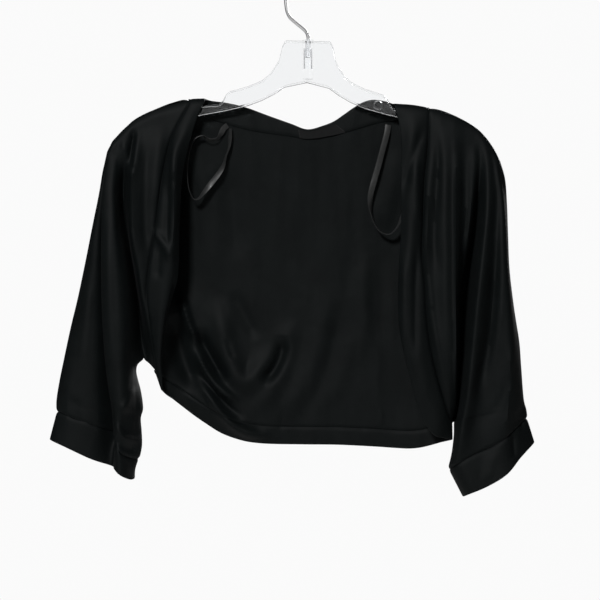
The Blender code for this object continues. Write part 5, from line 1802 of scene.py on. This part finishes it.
@dataclass
class Hanger:
    """The clear moulded hanger: an I-beam with soft edges, its barrel and a round mould mark."""

    finishes: Finishes
    tilt: float = math.radians(1.4)
    middle: float = 1.0
    pivot_down: float = 79.0
    flange_half: float = 4.6
    flange: float = 2.0
    web_half: float = 1.25
    soft_edge: float = 0.45
    corner_share: float = 0.3
    barrel_radius: float = 5.6
    barrel_rise: float = 1.5
    barrel_bottom: float = 120.0
    bore_radius: float = 2.1
    bore_depth: float = 8.0
    chamber_radius: float = 3.4
    chamber_depth: float = 30.0
    overrun: float = 10.0
    mark: Pair = (76.7, 148.0)
    mark_radius: float = 4.6
    mark_wire: float = 0.45
    mark_sides: int = 10
    round_sides: int = 64
    sharp_angle: float = 20.0

    def section(self, distance: float) -> Points:
        """The I-shaped section with softened corners.

        Args:
            distance: How far it is from the hanger's middle.

        Returns:
            Its corners as (depth, down), all the way round.
        """
        top, bottom = height_at(HANGER_TOP, distance)[0], height_at(HANGER_BOTTOM, distance)[0]
        half, web, soft = self.flange_half, self.web_half, self.soft_edge
        under, near = top + self.flange, soft * self.corner_share
        quarter = [
            (half - soft, top), (half - near, top + near), (half, top + soft), (half, under - soft),
            (half - near, under - near), (half - soft, under), (web + soft, under),
            (web + near, under + near), (web, under + soft),
        ]
        right = quarter + [(depth, top + bottom - down) for depth, down in quarter[::-1]]
        return np.array(right + [(-depth, down) for depth, down in right[::-1]])

    def tilted(self, points: Points) -> Points:
        """Turns the level hanger about the middle of its barrel.

        Args:
            points: Points (x, y, z) of the level hanger.

        Returns:
            The turned points.
        """
        cos, sin = math.cos(self.tilt), math.sin(self.tilt)
        x, z = points[:, 0] - self.middle, points[:, 2] + self.pivot_down
        return np.stack([
            self.middle + x * cos + z * sin, points[:, 1], -self.pivot_down + z * cos - x * sin,
        ], axis=1)

    def beam(self) -> Piece:
        """The moulded arms as one loft.

        Returns:
            The object.
        """
        rings = []
        for place in [-step for step in HANGER_STEPS[:0:-1]] + list(HANGER_STEPS):
            section = self.section(abs(place))
            across = np.full(len(section), place + self.middle)
            rings.append(self.tilted(np.stack([across, section[:, 0], -section[:, 1]], axis=1)))
        faces = ring_faces(len(rings), len(rings[0]))
        return right_way_out(mesh_object("hanger_moulding", np.vstack(rings), faces, sharp=self.sharp_angle))

    def pillar(self, name: str, radius: float, top: float, bottom: float) -> Piece:
        """An upright cylinder on the hook's axis.

        Args:
            name: Name of the object.
            radius: Its radius.
            top: How far down it begins.
            bottom: How far down it ends.

        Returns:
            The object.
        """
        tubes = Tubes()
        heights = (top, (top + bottom) / 2, bottom)
        tubes.add(world([(self.middle, down, 0.0) for down in heights]), radius, self.round_sides)
        return tubes.make(name)

    def ring(self) -> Piece:
        """The round mould mark on the front of the web.

        Returns:
            The object.
        """
        around = np.linspace(0.0, FULL_TURN, self.round_sides, endpoint=False)[:, None]
        turn = np.linspace(0.0, FULL_TURN, self.mark_sides, endpoint=False)[None]
        radius = self.mark_radius + self.mark_wire * np.cos(turn)
        across, down = self.mark
        points = np.stack(np.broadcast_arrays(
            across + radius * np.cos(around), self.mark_wire * np.sin(turn) - self.web_half,
            radius * np.sin(around) - down,
        ), axis=-1)
        faces = ring_faces(self.round_sides, self.mark_sides, closed=True)
        return right_way_out(mesh_object("mould_mark", points.reshape(-1, 3), faces))

    def build(self) -> None:
        """Joins the barrel and the mark to the arms, and bores the barrel."""
        hanger = self.beam()
        top = HANGER_TOP[0][1]
        bored = top + self.bore_depth
        barrel = self.pillar("barrel", self.barrel_radius, top - self.barrel_rise, self.barrel_bottom)
        bore = self.pillar("bore", self.bore_radius, top - self.overrun, bored + self.barrel_rise)
        chamber = self.pillar("chamber", self.chamber_radius, bored, top + self.chamber_depth)
        mark = self.ring()
        steps = (("UNION", barrel), ("UNION", mark), ("DIFFERENCE", bore), ("DIFFERENCE", chamber))
        for operation, tool in steps:
            boolean = hanger.modifiers.new(tool.name, "BOOLEAN")
            boolean.operation = operation
            boolean.object = tool
            boolean.solver = "EXACT"
        made = bpy.data.meshes.new_from_object(hanger.evaluated_get(bpy.context.evaluated_depsgraph_get()))
        hanger.modifiers.clear()
        hanger.data = made
        made.shade_smooth()
        made.set_sharp_from_angle(angle=math.radians(self.sharp_angle))
        for _, tool in steps:
            bpy.data.objects.remove(tool, do_unlink=True)
        settle(hanger, self.finishes.plastic, "clear_plastic", "hanger_body")


@dataclass
class Hook:
    """The plated wire hook: its turning head, the bent wire and the swollen tip."""

    finishes: Finishes
    wire_radius: float = 1.7
    head_radius: float = 3.0
    head_length: float = 9.5
    head_top: float = 87.5
    head_edge: float = 0.4
    radius: float = 24.0
    middle: float = 1.0
    arc: Pair = (184.0, -20.0)
    swelling: Table = ((0.3, 1.95), (0.7, 2.2), (1.2, 2.3), (1.8, 2.28), (2.3, 2.05), (2.7, 1.6), (2.95, 0.8))
    arc_steps: int = 90
    lead_steps: int = 60
    sides: int = 32
    sharp_angle: float = 40.0

    def outline(self) -> List[Row]:
        """The wire's middle and radius from the head to the tip.

        Returns:
            Rows of (across, down, radius).
        """
        bottom, edge = self.head_top + self.head_length, self.head_edge
        rows: List[Row] = [
            (self.middle, bottom, self.head_radius - edge), (self.middle, bottom - edge, self.head_radius),
            (self.middle, self.head_top + edge, self.head_radius),
            (self.middle, self.head_top, self.wire_radius),
        ]
        rows += [(x, -z, self.wire_radius) for x, _, z in spline(world(HOOK_LEAD), self.lead_steps)]
        middle_down = self.radius - self.wire_radius
        for angle in np.radians(np.linspace(*self.arc, self.arc_steps + 1)[1:]):
            across, down = self.radius * math.cos(angle), middle_down - self.radius * math.sin(angle)
            rows.append((across, down, self.wire_radius))
        return rows + self.tip(rows[-1])

    def tip(self, end: Row) -> List[Row]:
        """The rounded swelling at the end of the wire.

        Args:
            end: The last row of the wire.

        Returns:
            Rows of (across, down, radius).
        """
        angle = math.radians(self.arc[1])
        across, down = math.sin(angle), math.cos(angle)
        return [(end[0] + across * along, end[1] + down * along, radius) for along, radius in self.swelling]

    def build(self) -> None:
        """Builds the hook as one round tube."""
        rows = np.array(self.outline())
        line = np.stack([rows[:, 0], np.zeros(len(rows)), -rows[:, 1]], axis=1)
        tubes = Tubes()
        tubes.add(line, rows[:, 2], self.sides)
        hook = tubes.make("hook_wire", self.sharp_angle)
        settle(hook, self.finishes.wire, "plated_steel", "hanger_hook")


@dataclass(frozen=True)
class Lamp:
    """A soft square light."""

    name: str
    place: Triple
    size: float
    energy: float


@dataclass
class Studio:
    """A pale floor, a near-white surround, soft lights and the camera at the photograph's angle."""

    floor_height: float = -0.9
    floor_half_mm: float = 1300.0
    floor_colour: Triple = (0.8, 0.8, 0.79)
    floor_roughness: float = 0.9
    surround: float = 0.07
    seen: float = 0.96
    lens: float = 200.0
    camera_place: Triple = (-0.0076, -3.6, -0.3586)
    camera_turn: float = 90.0
    aim: Triple = (0.0, 0.0, -0.32)
    lamps: Tuple[Lamp, ...] = (
        Lamp("key_light", (-0.75, -2.2, 1.1), 0.45, 88.0),
        Lamp("fill_light", (1.6, -1.7, 0.1), 1.2, 4.0),
        Lamp("rear_light", (0.9, 2.2, 0.5), 0.6, 50.0),
    )

    def build(self) -> None:
        """Sets up everything round the object."""
        self.build_floor()
        self.build_surround()
        for lamp in self.lamps:
            self.build_lamp(lamp)
        camera = in_scene("camera", bpy.data.cameras.new("camera"))
        camera.data.lens = self.lens
        camera.location = self.camera_place
        camera.rotation_euler = (math.radians(self.camera_turn), 0.0, 0.0)
        bpy.context.scene.camera = camera
        bpy.context.scene.view_settings.view_transform = "Standard"

    def build_floor(self) -> None:
        """The pale floor, well below the garment."""
        corners = np.array(((-1, -1, 0), (1, -1, 0), (1, 1, 0), (-1, 1, 0))) * self.floor_half_mm
        floor = mesh_object("floor", corners, [range(len(corners))])
        floor.location.z = self.floor_height
        material, nodes, shader = new_material("pale_floor")
        nodes.feed(shader, {"Base Color": opaque(self.floor_colour), "Roughness": self.floor_roughness})
        floor.data.materials.append(material)

    def build_surround(self) -> None:
        """A near-white surround that lights the object less than it shows behind it."""
        surround = bpy.data.worlds.new("surround")
        surround.use_nodes = True
        bpy.context.scene.world = surround
        nodes = Nodes(surround.node_tree)
        light = surround.node_tree.nodes["Background"]
        nodes.feed(light, {"Color": WHITE, "Strength": self.surround})
        behind = nodes.add("ShaderNodeBackground", {"Color": WHITE, "Strength": self.seen})
        path = nodes.add("ShaderNodeLightPath").outputs
        seen = nodes.math("MAXIMUM", path["Is Camera Ray"], path["Is Transmission Ray"])
        mix = nodes.add("ShaderNodeMixShader", {"Fac": seen, 1: light.outputs[0], 2: behind.outputs[0]})
        nodes.feed(surround.node_tree.nodes["World Output"], {"Surface": mix.outputs[0]})

    def build_lamp(self, lamp: Lamp) -> None:
        """One soft light, aimed at the garment.

        Args:
            lamp: The light.
        """
        data = bpy.data.lights.new(lamp.name, "AREA")
        data.energy = lamp.energy
        data.size = lamp.size
        obj = in_scene(lamp.name, data)
        obj.location = lamp.place
        towards = Vector(self.aim) - Vector(lamp.place)
        obj.rotation_euler = towards.to_track_quat("-Z", "Y").to_euler()


def main() -> None:
    """Builds each sub-assembly in order."""
    logging.basicConfig(level=logging.INFO, format="%(name)s: %(message)s")
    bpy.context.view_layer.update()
    finishes = Finishes()
    Hanger(finishes).build()
    Hook(finishes).build()
    Bolero(finishes, Jersey(), Bands()).build()
    Studio().build()


if __name__ == "__main__":
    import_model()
    main()
